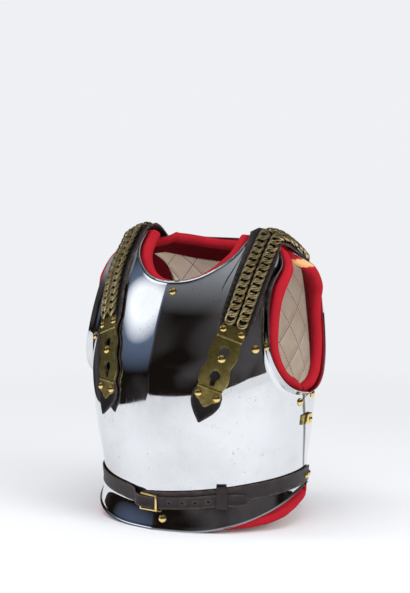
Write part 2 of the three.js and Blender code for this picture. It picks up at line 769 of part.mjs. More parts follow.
function rowsBetween(outline, start, end) {
  const marks = [...column(outline, "along"), RIDGE_FROM, RIDGE_TO];
  const kept = marks.filter((along) => along >= start && along <= end).sort((a, b) => a - b);
  const rows = [kept[0]];
  for (const mark of kept.slice(1)) {
    const from = rows[rows.length - 1];
    const step = mark > RIDGE_FROM && mark <= RIDGE_TO ? RIDGE_STEP : ROW_STEP;
    const parts = Math.max(Math.round((mark - from) / step), 1);
    for (let k = 1; k <= parts; k += 1) rows.push(lerp(from, mark, k / parts));
  }
  return rows;
}

// A flat strip with the outline's width, and a height for its top face at each row
function strip(outline, rows, shares, low, top) {
  const point = (height) => (i, j) => {
    const half = tableValue(outline, "along", "half", rows[j]);
    return new THREE.Vector3(half * shares[i], rows[j], height(rows[j], shares[i]));
  };
  return sheet(shares.length, rows.length, point(top), point(() => low));
}

function keyholeCutter(along) {
  const shape = new THREE.Shape();
  const open = Math.asin(KEYHOLE_SLOT_HALF / KEYHOLE_RADIUS);
  shape.absarc(0, 0, KEYHOLE_RADIUS, Math.PI / 2 + open, Math.PI / 2 - open + 2 * Math.PI, false);
  shape.lineTo(KEYHOLE_SLOT_HALF, KEYHOLE_SLOT_LENGTH - KEYHOLE_SLOT_HALF);
  shape.absarc(0, KEYHOLE_SLOT_LENGTH - KEYHOLE_SLOT_HALF, KEYHOLE_SLOT_HALF, 0, Math.PI, false);
  const depth = 4 * BRASS_SEAT;
  const options = { depth, bevelEnabled: false, curveSegments: KEYHOLE_SIDES };
  return new THREE.ExtrudeGeometry(shape, options).translate(0, along, -BRASS_SEAT);
}

function withKeyholes(geometry) {
  const cut = KEYHOLES.reduce(
    (body, along) => body.subtract(toManifold(keyholeCutter(along))),
    toManifold(geometry),
  );
  return fromManifold(cut);
}

function leatherStrap(map) {
  const rows = rowsBetween(LEATHER_OUTLINE, LEATHER_OUTLINE[0].along, LEATHER_OUTLINE.at(-1).along);
  const top = STRAP_SEAT + LEATHER_THICKNESS;
  return laid(withKeyholes(strip(LEATHER_OUTLINE, rows, [-1, -0.35, 0.35, 1], STRAP_SEAT, () => top)), map);
}

function keyholePlate(map) {
  const ribSteps = [-RIB_HALF - RIB_SLOPE, -RIB_HALF, RIB_HALF, RIB_HALF + RIB_SLOPE];
  const ribRows = [0, LOWER_RIB].flatMap((rib) => ribSteps.map((step) => rib + step));
  const clear = (row) => [0, LOWER_RIB].every((rib) => Math.abs(row.along - rib) > RIB_HALF + 2 * RIB_SLOPE);
  const marks = BRASS_OUTLINE.filter(clear);
  const rows = [...column(marks, "along"), ...ribRows].sort((a, b) => a - b);
  const onRib = (along) => [0, LOWER_RIB].some((rib) => Math.abs(along - rib) <= RIB_HALF + 0.01);
  const top = (along) => BRASS_SEAT + BRASS_THICKNESS + (onRib(along) ? RIB_HEIGHT : 0);
  return laid(withKeyholes(strip(BRASS_OUTLINE, rows, [-1, -0.4, 0.4, 1], BRASS_SEAT, top)), map);
}

// The two rows of links as one band with a furrow between them
const CHAIN_OUTLINE = [
  { along: CHAIN_END, half: 18.5 },
  { along: CHAIN_START, half: 18.5 },
];
const CHAIN_SHARES = [-1, -0.5, 0, 0.5, 1];
const CHAIN_EDGE = 3;

function chainBand(map) {
  const rows = rowsBetween(CHAIN_OUTLINE, CHAIN_END, CHAIN_START);
  const low = BRASS_SEAT + BRASS_THICKNESS + SEAT_GAP;
  const proud = (share) => (Math.abs(share) > 0.9 || share === 0 ? CHAIN_EDGE : CHAIN_THICKNESS);
  return laid(strip(CHAIN_OUTLINE, rows, CHAIN_SHARES, low, (along, share) => low + proud(share)), map);
}

const ANCHOR_LIFT = 0.7;
const ANCHOR_OUTLINE = [
  { along: CHAIN_END - 20, half: 17 },
  { along: CHAIN_END - 18, half: 19 },
  { along: CHAIN_END - 1, half: 19 },
];

function strapAnchor(map) {
  const rows = column(ANCHOR_OUTLINE, "along");
  const low = BRASS_SEAT + ANCHOR_LIFT;
  return laid(strip(ANCHOR_OUTLINE, rows, [-1, 0, 1], low, () => low + BRASS_THICKNESS), map);
}

// Domed studs, turned to stand square on what carries them
const STUD_SIDES = 8;
const STUD_HEIGHT = 4.2;
const STRAP_STUD_RADIUS = 5.4;
const STRAP_STUD_ACROSS = 13.3;
const STRAP_STUD_ROWS = { upper: -10.8, lower: LOWER_RIB + 10.5, rear: CHAIN_END - 10 };
const KEYHOLE_STUD_RADIUS = 6.3;
const KEYHOLE_STUD_DROP = 11;
const KEYHOLE_SHANK_RADIUS = 2.8;

function studGeometry(radius, shank) {
  const foot = shank ? [[0, -shank.length], [shank.radius, -shank.length], [shank.radius, 0]] : [[0, 0]];
  const dome = [[1, 0], [0.82, 0.62], [0, 1]].map(([r, h]) => [r * radius, h * STUD_HEIGHT]);
  return new THREE.LatheGeometry([...foot, ...dome].map(([r, h]) => new THREE.Vector2(r, h)), STUD_SIDES);
}

const MATERIALS = {
  steel: new THREE.MeshStandardMaterial({ color: 0xc9ccd1, metalness: 1, roughness: 0.12 }),
  brass: new THREE.MeshStandardMaterial({ color: 0x8f7a35, metalness: 1, roughness: 0.32 }),
  studBrass: new THREE.MeshStandardMaterial({ color: 0xd9b65a, metalness: 1, roughness: 0.2 }),
  chain: new THREE.MeshStandardMaterial({ color: 0xb09a66, metalness: 1, roughness: 0.38 }),
  strap: new THREE.MeshStandardMaterial({ color: 0x1e1a1c, metalness: 0, roughness: 0.5 }),
  belt: new THREE.MeshStandardMaterial({ color: 0x3a2f30, metalness: 0, roughness: 0.6 }),
  wool: new THREE.MeshStandardMaterial({ color: 0xa8202a, metalness: 0, roughness: 0.95 }),
  canvas: new THREE.MeshStandardMaterial({ color: 0xd9cdbb, metalness: 0, roughness: 0.95 }),
};

const cuirass = new THREE.Group();

function add(name, geometry, material) {
  const mesh = new THREE.Mesh(geometry, material);
  mesh.name = name;
  cuirass.add(mesh);
  return mesh;
}

function addStud(name, point, normal, radius = STUD_RADIUS, shank = null) {
  const mesh = add(name, studGeometry(radius, shank), MATERIALS.studBrass);
  mesh.position.copy(point).addScaledVector(normal, SEAT_GAP);
  mesh.quaternion.setFromUnitVectors(new THREE.Vector3(0, 1, 0), normal);
}

// Studs on the plates, on the plates' own skin
const PLATE_STUDS = [
  { name: "neck_stud", degrees: 3.7, level: 351 },
  { name: "flange_stud", degrees: 4.3, level: 17 },
  { name: "armhole_stud_left", degrees: 53, level: 272 },
  { name: "armhole_stud_right", degrees: -53, level: 272 },
  { name: "side_stud_left", degrees: 88, level: 186 },
  { name: "side_stud_right", degrees: -88, level: 186 },
  { name: "back_stud_left", degrees: 103, level: 193 },
  { name: "back_stud_right", degrees: -103, level: 193 },
];

// Waist belt: its middle by degrees, how far off its own seat it runs, and its half width.
// The right belt climbs over the buckle's near bar, dips under its far bar and ends in a free tip.
const BELT_SEAT = 1.2;
const BELT_OVER = 3;
const BELT_OVER_BAR = 7.2;
const BELT_RIGHT = [
  { degrees: -118, level: 65.5, off: 0, half: 7 },
  { degrees: -116.5, level: 66, off: 0, half: 11 },
  { degrees: -110, level: 67, off: 0, half: BELT_WIDTH / 2 },
  { degrees: -90, level: 66, off: 0, half: BELT_WIDTH / 2 },
  { degrees: -60, level: 61.1, off: 0, half: BELT_WIDTH / 2 },
  { degrees: -36, level: 54, off: 0, half: BELT_WIDTH / 2 },
  { degrees: -20, level: 49, off: 0, half: BELT_WIDTH / 2 },
  { degrees: -14.5, level: 46.5, off: 0.6, half: 11.5 },
  { degrees: -10.4, level: 42, off: BELT_OVER_BAR, half: 10.6 },
  { degrees: -7.4, level: 40, off: BELT_OVER_BAR + 0.2, half: FREE_END_WIDTH / 2 },
  { degrees: -4, level: 39.5, off: 4.6, half: FREE_END_WIDTH / 2 },
  { degrees: -0.8, level: 39.5, off: BELT_OVER, half: FREE_END_WIDTH / 2 },
  { degrees: 6, level: 40.5, off: BELT_OVER, half: FREE_END_WIDTH / 2 },
  { degrees: 20, level: 43.5, off: BELT_OVER, half: FREE_END_WIDTH / 2 },
  { degrees: 36, level: 48, off: BELT_OVER, half: FREE_END_WIDTH / 2 },
  { degrees: 48, level: 48.5, off: BELT_OVER, half: 9.4 },
  { degrees: 51.5, level: 48, off: BELT_OVER, half: 6.4 },
  { degrees: 53, level: 47.6, off: BELT_OVER, half: 1.5 },
];
const BELT_LEFT = [
  { degrees: -9.4, level: 43, off: 0, half: 10.5 },
  { degrees: -0.8, level: 44.5, off: 0, half: BELT_WIDTH / 2 },
  { degrees: 6, level: 45.6, off: 0, half: BELT_WIDTH / 2 },
  { degrees: 20, level: 49, off: 0, half: BELT_WIDTH / 2 },
  { degrees: 36, level: 54, off: 0, half: BELT_WIDTH / 2 },
  { degrees: 48, level: 57.8, off: 0, half: BELT_WIDTH / 2 },
  { degrees: 60, level: 61.1, off: 0, half: BELT_WIDTH / 2 },
  { degrees: 90, level: 66, off: 0, half: BELT_WIDTH / 2 },
  { degrees: 110, level: 67, off: 0, half: BELT_WIDTH / 2 },
  { degrees: 116.5, level: 66, off: 0, half: 11 },
  { degrees: 118, level: 65.5, off: 0, half: 7 },
];
const BELT_RIVETS = { level: 66, degrees: [106.5, 113.5], radius: 5 };
const BELT_STEP = 7;

function beltBand(table) {
  const rows = [table[0].degrees];
  for (const { degrees } of table.slice(1)) {
    const from = rows[rows.length - 1];
    const parts = Math.max(Math.round((degrees - from) / BELT_STEP), 1);
    for (let k = 1; k <= parts; k += 1) rows.push(lerp(from, degrees, k / parts));
  }
  const value = (key, degrees) => tableValue(table, "degrees", key, degrees);
  const point = (thickness) => (i, j) => {
    const degrees = rows[j];
    const level = value("level", degrees) + (i - 1) * value("half", degrees);
    return skin(degrees, level, BELT_SEAT + value("off", degrees) + thickness);
  };
  return sheet(3, rows.length, point(BELT_THICKNESS), point(0));
}

// A curved block on the skin between two degrees, levels and heights
function skinBlock(degrees, level, out) {
  const steps = 2;
  const point = (height) => (i, j) => {
    const turn = lerp(degrees[0], degrees[1], i / steps);
    return skin(turn, lerp(level[0], level[1], j / steps), height);
  };
  return sheet(steps + 1, steps + 1, point(out[1]), point(out[0]));
}

// Belt buckle: an open brass frame, its far bar standing higher than the bar under the belt
const BUCKLE = { degrees: [-9.1, 1.9], level: [25.6, 53.2], bar: 2.6, low: 3.7, high: 6.4 };

function buckleGeometry() {
  const [start, end] = BUCKLE.degrees;
  const [bottom, top] = BUCKLE.level;
  const barDegrees = THREE.MathUtils.radToDeg(BUCKLE.bar / SECTIONS[1].front);
  const frame = [
    [start, bottom], [end, bottom], [end, top], [start, top],
    [start + barDegrees, bottom + BUCKLE.bar], [end - barDegrees, bottom + BUCKLE.bar],
    [end - barDegrees, top - BUCKLE.bar], [start + barDegrees, top - BUCKLE.bar],
  ];
  const corners = [0, BUCKLE.bar].flatMap((rise) => frame.map(([degrees, level]) => {
    const out = lerp(BUCKLE.low, BUCKLE.high, (degrees - start) / (end - start));
    return skin(degrees, level, out + rise);
  }));
  const faces = [];
  const quad = (a, b, c, d) => faces.push([a, b, c], [a, c, d]);
  for (let k = 0; k < 4; k += 1) {
    const next = (k + 1) % 4;
    quad(k, 4 + k, 4 + next, next);
    quad(8 + k, 8 + next, 12 + next, 12 + k);
    quad(k, next, 8 + next, 8 + k);
    quad(4 + k, 12 + k, 12 + next, 4 + next);
  }
  return solid(corners, faces);
}

// The keeper: a leather loop, open towards the plate, across both belts
const KEEPER = { degrees: [33.6, 39.6], level: [34.8, 69.4], leather: 1.4, out: [BELT_SEAT, 8.6] };

function keeperGeometry() {
  const [bottom, top] = KEEPER.level;
  const [low, high] = KEEPER.out;
  const { leather } = KEEPER;
  const section = [
    [bottom, low], [bottom, high], [top, high], [top, low],
    [top - leather, low], [top - leather, high - leather],
    [bottom + leather, high - leather], [bottom + leather, low],
  ];
  const ends = KEEPER.degrees.map((degrees) => section.map(([level, out]) => skin(degrees, level, out)));
  const faces = [];
  const quad = (a, b, c, d) => faces.push([a, b, c], [a, c, d]);
  section.forEach((_, k) => {
    const next = (k + 1) % section.length;
    quad(k, next, 8 + next, 8 + k);
  });
  for (const [a, b, c, d] of [[0, 7, 6, 1], [1, 6, 5, 2], [2, 5, 4, 3]]) {
    quad(a, b, c, d);
    quad(8 + a, 8 + d, 8 + c, 8 + b);
  }
  return solid(ends.flat(), faces);
}

// Side fastening: a brass eye strip on the breastplate and a hook block on the backplate
const SIDE_EYE = { degrees: [91, 94.2], level: [150, 165], out: [SEAT_GAP, 2] };
const SIDE_HOOK = { degrees: [96.2, 102.6], level: [149, 165], out: [SEAT_GAP, 4.4] };
const HOOK_STUD = { degrees: 100.4, level: 156, radius: 3.6 };

const breast = makePatch(NECKLINE_FRONT, ARMHOLE_FRONT, PLATE_MARGINS, false);
const back = makePatch(NECKLINE_BACK, ARMHOLE_BACK, PLATE_MARGINS, true);
const breastCanvas = makePatch(NECKLINE_FRONT_CANVAS, ARMHOLE_FRONT_CANVAS, CANVAS_MARGINS, false);
const backCanvas = makePatch(NECKLINE_BACK_CANVAS, ARMHOLE_BACK_CANVAS, CANVAS_MARGINS, true);
add("breastplate", plate(breast, BREAST_THICKNESS), MATERIALS.steel);
add("backplate", plate(back, BACK_THICKNESS), MATERIALS.steel);
add("breast_edging", edging(breast, breastCanvas, BREAST_THICKNESS), MATERIALS.wool);
add("back_edging", edging(back, backCanvas, BACK_THICKNESS), MATERIALS.wool);
add("breast_lining", lining(breastCanvas, BREAST_THICKNESS), MATERIALS.canvas);
add("back_lining", lining(backCanvas, BACK_THICKNESS), MATERIALS.canvas);

for (const [side, line, mirror] of [["left", STRAP_LINE_LEFT, false], ["right", STRAP_LINE_RIGHT, true]]) {
  const map = strapMap(line, mirror);
  const raised = (across, along, height) => {
    const base = map(across, along, height);
    return { base, normal: map(across, along, height + 1).sub(base).normalize() };
  };
  add(`shoulder_strap_${side}`, leatherStrap(map), MATERIALS.strap);
  add(`keyhole_plate_${side}`, keyholePlate(map), MATERIALS.brass);
  add(`chains_${side}`, chainBand(map), MATERIALS.chain);
  add(`strap_anchor_${side}`, strapAnchor(map), MATERIALS.brass);
  const brassTop = BRASS_SEAT + BRASS_THICKNESS;
  for (const [place, along] of Object.entries(STRAP_STUD_ROWS)) {
    for (const [edge, across] of [["inner", -1], ["outer", 1]]) {
      const { base, normal } = raised(across * STRAP_STUD_ACROSS, along, brassTop);
      addStud(`strap_stud_${place}_${edge}_${side}`, base, normal, STRAP_STUD_RADIUS);
    }
  }
  const { base, normal } = raised(0, KEYHOLES[0] + KEYHOLE_STUD_DROP, brassTop);
  const shank = { radius: KEYHOLE_SHANK_RADIUS, length: brassTop };
  addStud(`keyhole_stud_${side}`, base, normal, KEYHOLE_STUD_RADIUS, shank);
}

for (const { name, degrees, level } of PLATE_STUDS) {
  addStud(name, torso(degrees, level), torsoNormal(degrees, level));
}
add("waist_belt_right", beltBand(BELT_RIGHT), MATERIALS.belt);
add("waist_belt_left", beltBand(BELT_LEFT), MATERIALS.belt);
add("belt_buckle", buckleGeometry(), MATERIALS.studBrass);
add("belt_keeper", keeperGeometry(), MATERIALS.belt);
for (const [side, sign] of [["left", 1], ["right", -1]]) {
  BELT_RIVETS.degrees.forEach((degrees, k) => {
    const normal = torsoNormal(sign * degrees, BELT_RIVETS.level);
    const onBelt = skin(sign * degrees, BELT_RIVETS.level, BELT_SEAT + BELT_THICKNESS);
    addStud(`belt_rivet_${side}_${k + 1}`, onBelt, normal, BELT_RIVETS.radius);
  });
  const turned = (range) => (sign > 0 ? range : [-range[1], -range[0]]);
  add(`side_eye_${side}`, skinBlock(turned(SIDE_EYE.degrees), SIDE_EYE.level, SIDE_EYE.out), MATERIALS.brass);
  const hook = skinBlock(turned(SIDE_HOOK.degrees), SIDE_HOOK.level, SIDE_HOOK.out);
  add(`side_hook_${side}`, hook, MATERIALS.studBrass);
  const hookNormal = torsoNormal(sign * HOOK_STUD.degrees, HOOK_STUD.level);
  const hookTop = skin(sign * HOOK_STUD.degrees, HOOK_STUD.level, SIDE_HOOK.out[1]);
  addStud(`side_hook_stud_${side}`, hookTop, hookNormal, HOOK_STUD.radius);
}

export default cuirass;
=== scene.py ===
# Cavalry cuirass: polished breastplate and backplate with red wool edgings, quilted canvas linings,
# chain-covered shoulder straps with brass keyhole plates, and a waist belt.
# Sizes are millimetres, +Z up, the wearer faces -Y and the wearer's left is +X. Meshes are in metres.
import math

import bmesh
import bpy
import numpy as np
from mathutils import Matrix, Vector, noise
from mathutils.geometry import delaunay_2d_cdt


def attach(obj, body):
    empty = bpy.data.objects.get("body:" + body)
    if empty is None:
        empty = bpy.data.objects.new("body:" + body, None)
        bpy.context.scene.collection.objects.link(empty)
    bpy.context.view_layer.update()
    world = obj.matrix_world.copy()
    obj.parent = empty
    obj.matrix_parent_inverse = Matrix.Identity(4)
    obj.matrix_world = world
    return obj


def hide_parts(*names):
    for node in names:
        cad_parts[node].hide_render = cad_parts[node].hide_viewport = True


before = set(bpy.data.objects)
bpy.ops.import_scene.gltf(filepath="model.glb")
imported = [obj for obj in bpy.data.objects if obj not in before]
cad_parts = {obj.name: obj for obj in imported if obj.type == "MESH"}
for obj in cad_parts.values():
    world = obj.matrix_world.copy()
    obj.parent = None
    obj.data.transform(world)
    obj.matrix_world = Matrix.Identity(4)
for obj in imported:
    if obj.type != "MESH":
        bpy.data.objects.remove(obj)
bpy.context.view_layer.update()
MM = 0.001

# Driving sizes of the cuirass
BREAST_THICKNESS = 2.2
BACK_THICKNESS = 1.8
SEAM_GAP = 1.2
SEAT_GAP = 0.3
LINING_GAP = 2
FACING_THICKNESS = 4.4
LINING_THICKNESS = 4
LEATHER_THICKNESS = 3.4
BRASS_THICKNESS = 1.6
BELT_THICKNESS = 2.2
CENTRE_SHIFT_Y = -1.04
TOP = 480

# Torso sections: level, height, half width, half width behind, depth in front, depth behind
SECTIONS = np.array([
    (0, 0, 156, 156, 127, 146),
    (40, 40, 156, 156, 127, 146),
    (88, 88, 160, 160, 136, 149),
    (135, 135, 166, 166, 146, 151),
    (187, 187, 171, 171, 149, 153),
    (235, 235, 174, 174.5, 146, 155),
    (285, 285, 172, 174, 131, 155),
    (330, 330, 165, 171, 111, 149),
    (375, 374, 154, 165, 84, 133),
    (410, 407, 145, 156, 57, 109),
    (440, 433, 139, 146, 31, 74),
    (456, 444, 137, 140.5, 18, 49),
    (468, 449, 135.5, 137, 8.5, 25),
    (TOP, 451, 134, 134, 0, 0),
], float)
SQUARENESS = 0.05
CREASE_HEIGHT = 6
CREASE_WIDTH = 90
SHOULDER_DROP = 36
SHOULDER_DROP_FROM = 340
WAIST_LEVEL = 42
WAIST_RISE = 20
WAIST_FADE_FROM = 60
WAIST_FADE_LENGTH = 180
FLARE_SLOPE = 0.28
FLARE_RADIUS = 10
LIP_RISE = 52
LIP_FLAT_FRONT = 14
LIP_PEAK = 112
LIP_FLAT_BACK = 168
SEAM_DEGREES = 92
SEAM_LEVEL = 187
SEAM_SLANT = 0.115

# Edges of the plates and of the canvas inside them: degrees from the plate's own middle, and level
NECKLINE_FRONT = [(0, 361), (9, 363), (18.5, 372), (27.5, 388), (35, 407), (40, 432), (42, 455)]
ARMHOLE_FRONT = [
    (86, 194.6), (72, 208), (62.3, 235), (56.3, 272), (55.2, 308), (56.4, 341), (60.5, 372),
    (67.5, 399), (74, 428), (77, 455),
]
NECKLINE_BACK = [(0, 412), (12, 413), (24, 417), (34, 424), (40, 430), (42, 434)]
ARMHOLE_BACK = [
    (82, 195.4), (69, 213), (60.5, 243), (56.5, 280), (55.5, 316), (57, 350), (61, 384),
    (66, 410), (72, 434),
]
CANVAS_NECKLINE_FRONT = [(0, 322), (10, 325), (20, 334), (30, 352), (38, 376), (44.5, 402), (49, 425)]
CANVAS_ARMHOLE_FRONT = [
    (76, 174), (60, 190), (50, 224), (44.5, 268), (43.5, 308), (44.8, 341), (48.5, 372),
    (54.5, 400), (61, 425),
]
CANVAS_NECKLINE_BACK = [(0, 376), (12, 377), (24, 381), (34, 388), (43, 397), (49, 404)]
CANVAS_ARMHOLE_BACK = [
    (72, 175), (57, 195), (49, 235), (45, 280), (44, 316), (45.5, 350), (50, 380), (57, 404),
]
SEAM_LAP = 1.5
SIDE_RADIUS = 168
LIP_REACH = 4
LIP_OUT = 3
PLATE_MARGINS = {"foot": 193, "seam": SEAM_GAP / 2 + SEAM_LAP, "lip": LIP_REACH}
CANVAS_MARGINS = {"foot": 171, "seam": 28, "lip": 46}
NECK_SHARE = 0.6
SEAM_SHARE = 0.4
CORNER_STEP = 0.008
END_STEP = 0.004
FLANGE_FADE = 0.08
NECK_RIM_FADE = 0.1


def smooth(value):
    t = np.clip(value, 0, 1)
    return t * t * (3 - 2 * t)


def lerp(start, end, share):
    return start + (end - start) * share


def unit(vectors):
    return vectors / np.maximum(np.linalg.norm(vectors, axis=-1, keepdims=True), 1e-9)


def dot(a, b):
    return (a * b).sum(-1, keepdims=True)


# Natural cubic spline through the points xs, ys
def spline(xs, ys):
    xs = np.array(xs, float)
    ys = np.array(ys, float)
    steps = np.diff(xs)
    count = len(xs)
    system = np.eye(count)
    bends = np.zeros(count)
    for i in range(1, count - 1):
        system[i, i - 1:i + 2] = steps[i - 1], 2 * (steps[i - 1] + steps[i]), steps[i]
        bends[i] = 6 * ((ys[i + 1] - ys[i]) / steps[i] - (ys[i] - ys[i - 1]) / steps[i - 1])
    curve = np.linalg.solve(system, bends)

    def value(x):
        x = np.asarray(x, float)
        i = np.clip(np.searchsorted(xs, x) - 1, 0, count - 2)
        width = steps[i]
        ahead = xs[i + 1] - x
        past = x - xs[i]
        cubic = (curve[i] * ahead ** 3 + curve[i + 1] * past ** 3) / (6 * width)
        start = (ys[i] / width - curve[i] * width / 6) * ahead
        end = (ys[i + 1] / width - curve[i + 1] * width / 6) * past
        return cubic + start + end

    return value


# Smooth curve through the points that never overshoots them
def gentle_curve(xs, ys):
    xs = np.array(xs, float)
    ys = np.array(ys, float)
    steps = np.diff(xs)
    slopes = np.diff(ys) / steps
    before = slopes[:-1]
    after = slopes[1:]
    same_way = before * after > 0
    middle = np.where(same_way, 2 * before * after / np.where(same_way, before + after, 1), 0)
    tangents = np.concatenate([[slopes[0]], middle, [slopes[-1]]])

    def value(x):
        x = np.clip(np.asarray(x, float), xs[0], xs[-1])
        i = np.clip(np.searchsorted(xs, x) - 1, 0, len(steps) - 1)
        t = (x - xs[i]) / steps[i]
        rise = smooth(t)
        ease_in = t * (1 - t) ** 2 * tangents[i]
        ease_out = t * t * (t - 1) * tangents[i + 1]
        return lerp(ys[i], ys[i + 1], rise) + (ease_in + ease_out) * steps[i]

    return value


LEVELS = SECTIONS[:, 0]
height_at, half_at, back_half_at, front_at, back_at = (
    spline(LEVELS, SECTIONS[:, k]) for k in range(1, SECTIONS.shape[1])
)


# The lower rim arches up over each hip and lies flat at the front and back middle
def lip_level(degrees):
    turn = np.abs(degrees)
    front = smooth((turn - LIP_FLAT_FRONT) / (LIP_PEAK - LIP_FLAT_FRONT))
    behind = smooth((LIP_FLAT_BACK - turn) / (LIP_FLAT_BACK - LIP_PEAK))
    return LIP_RISE * np.where(turn <= LIP_PEAK, front, behind)


def seam_degrees(level):
    return SEAM_DEGREES + (SEAM_LEVEL - level) * SEAM_SLANT


# Points of the torso's skin. Past the top level it runs on down the other side.
def torso(degrees, level):
    degrees, level = np.broadcast_arrays(np.asarray(degrees, float), np.asarray(level, float))
    over = level > TOP
    angle = np.radians(np.where(over, 180 - degrees, degrees))
    t = np.where(over, 2 * TOP - level, level)
    sine = np.sin(angle)
    cosine = np.cos(angle)
    fade = 1 - smooth((t - WAIST_FADE_FROM) / WAIST_FADE_LENGTH)
    rise = WAIST_RISE * sine * sine
    shifted = t - rise * fade
    below = np.maximum(WAIST_LEVEL + rise - t, 0)
    flare = FLARE_SLOPE * (np.hypot(below, FLARE_RADIUS) - FLARE_RADIUS)
    half = np.where(cosine >= 0, half_at(shifted), back_half_at(shifted)) + flare
    depth = np.where(cosine >= 0, front_at(shifted), back_at(shifted)) + flare
    x = half * sine * (1 + SQUARENESS * cosine * cosine)
    crease = np.where(cosine > 0, CREASE_HEIGHT * np.maximum(1 - np.abs(x) / CREASE_WIDTH, 0) ** 2, 0)
    shoulder = smooth((t - SHOULDER_DROP_FROM) / (TOP - SHOULDER_DROP_FROM))
    y = -depth * cosine * (1 + SQUARENESS * sine * sine) - crease * (1 - shoulder)
    z = height_at(t) - SHOULDER_DROP * sine * sine * shoulder
    return np.stack([x, y + CENTRE_SHIFT_Y, z], -1)


def torso_normal(degrees, level):
    step = 0.05
    along = torso(degrees + step, level) - torso(degrees - step, level)
    up = torso(degrees, level + step) - torso(degrees, level - step)
    return unit(np.cross(along, up))


def skin(degrees, level, out):
    return torso(degrees, level) + torso_normal(degrees, level) * np.asarray(out, float)[..., None]


# One half of a plate as a patch: u runs from the middle to the side, v from the lip to the top
class Patch:
    def __init__(self, neckline, armhole, margins, back):
        self.back = back
        self.margins = margins
        self.margin = math.degrees(margins["seam"] / SIDE_RADIUS)
        foot = (float(self.seam(margins["foot"])), margins["foot"])
        self.neckline = neckline
        self.armhole = armhole
        self.neck_curve = self.edge_curve(neckline)
        self.arm_curve = self.edge_curve([foot, *armhole])
        self.hip = self.seam(self.lip(self.seam(LIP_RISE)))

    def body_degrees(self, own):
        return 180 - own if self.back else own

    def seam(self, level):
        return self.body_degrees(seam_degrees(level)) - self.margin

    def lip(self, own):
        return lip_level(self.body_degrees(own)) + self.margins["lip"]

    @staticmethod
    def edge_curve(table):
        degrees, level = np.array(table, float).T
        gaps = np.linalg.norm(np.diff(torso(degrees, level), axis=0), axis=1)
        along = np.concatenate([[0], np.cumsum(gaps)])
        degrees_at = spline(along, degrees)
        level_at = spline(along, level)
        return lambda share: np.stack([degrees_at(share * along[-1]), level_at(share * along[-1])])

    def bottom(self, u):
        return np.stack([u * self.hip, self.lip(u * self.hip)])

    def middle(self, v):
        return np.stack([0 * v, lerp(self.lip(0.0), self.neckline[0][1], v)])

    def top(self, u):
        share = (u - NECK_SHARE) / (1 - NECK_SHARE)
        (neck_degrees, neck_level), (arm_degrees, _) = self.neckline[-1], self.armhole[-1]
        shoulder = np.stack([lerp(neck_degrees, arm_degrees, share), neck_level + 0 * u])
        return np.where(u <= NECK_SHARE, self.neck_curve(np.minimum(u, NECK_SHARE) / NECK_SHARE), shoulder)

    def side(self, v):
        foot = self.margins["foot"]
        level = lerp(self.lip(self.hip), foot, v / SEAM_SHARE)
        seam = np.stack([self.seam(level), level])
        arm = self.arm_curve((np.maximum(v, SEAM_SHARE) - SEAM_SHARE) / (1 - SEAM_SHARE))
        return np.where(v >= SEAM_SHARE, arm, seam)

    def place(self, u, v):
        u, v = np.broadcast_arrays(np.asarray(u, float), np.asarray(v, float))
        zero = np.zeros_like(u)
        one = np.ones_like(u)
        rows = lerp(self.bottom(u), self.top(u), v) + lerp(self.middle(v), self.side(v), u)
        low = lerp(self.bottom(zero), self.bottom(one), u)
        high = lerp(self.top(zero), self.top(one), u)
        own, level = rows - lerp(low, high, v)
        return self.body_degrees(own), level

    def at(self, u, v, out=0.0):
        points = skin(*self.place(u, v), out)
        points[..., 0] = np.where(np.broadcast_to(u, points.shape[:-1]) == 0, 0, points[..., 0])
        return points

    # Points of an edge, the way that leads off the plate there, and the way out
    def edge_frame(self, u, v, side):
        step = 0.002
        u, v = np.broadcast_arrays(np.asarray(u, float), np.asarray(v, float))
        normal = torso_normal(*self.place(u, v))
        here = self.at(u, v)
        if side == "side":
            inwards = self.at(u - step, v)
            along = self.at(u, np.minimum(v + step, 1)) - self.at(u, np.maximum(v - step, 0))
        else:
            inwards = self.at(u, v - step if side == "top" else v + step)
            along = self.at(np.minimum(u + step, 1), v) - self.at(np.maximum(u - step, 0), v)
        along = unit(along)
        reach = here - inwards
        if side == "side":
            upwards = self.at(1.0, SEAM_SHARE) - self.at(1.0, SEAM_SHARE - step)
            foot = ((v >= SEAM_SHARE) & (v < SEAM_SHARE + CORNER_STEP))[..., None]
            reach = np.where(foot, upwards, reach - along * dot(reach, along))
        else:
            reach = reach - along * dot(reach, along)
        reach = reach - normal * dot(reach, normal)
        reach[..., 0] = np.where(u == 0, 0, reach[..., 0])
        return here, unit(reach), normal


breast = Patch(NECKLINE_FRONT, ARMHOLE_FRONT, PLATE_MARGINS, False)
back = Patch(NECKLINE_BACK, ARMHOLE_BACK, PLATE_MARGINS, True)
breast_canvas = Patch(CANVAS_NECKLINE_FRONT, CANVAS_ARMHOLE_FRONT, CANVAS_MARGINS, False)
back_canvas = Patch(CANVAS_NECKLINE_BACK, CANVAS_ARMHOLE_BACK, CANVAS_MARGINS, True)


# Meshes and pieces
def face_grid(rows, columns):
    corner = np.arange(rows * columns).reshape(rows, columns)
    quads = [corner[:-1, :-1], corner[:-1, 1:], corner[1:, 1:], corner[1:, :-1]]
    return np.stack(quads, -1).reshape(-1, 4).tolist()


def new_mesh(name, points, faces, sharp=40):
    mesh = bpy.data.meshes.new(name)
    mesh.from_pydata((np.asarray(points).reshape(-1, 3) * MM).tolist(), [], faces)
    whole = bmesh.new()
    whole.from_mesh(mesh)
    bmesh.ops.recalc_face_normals(whole, faces=whole.faces)
    whole.to_mesh(mesh)
    whole.free()
    mesh.polygons.foreach_set("use_smooth", [True] * len(mesh.polygons))
    mesh.set_sharp_from_angle(angle=math.radians(sharp))
    return mesh


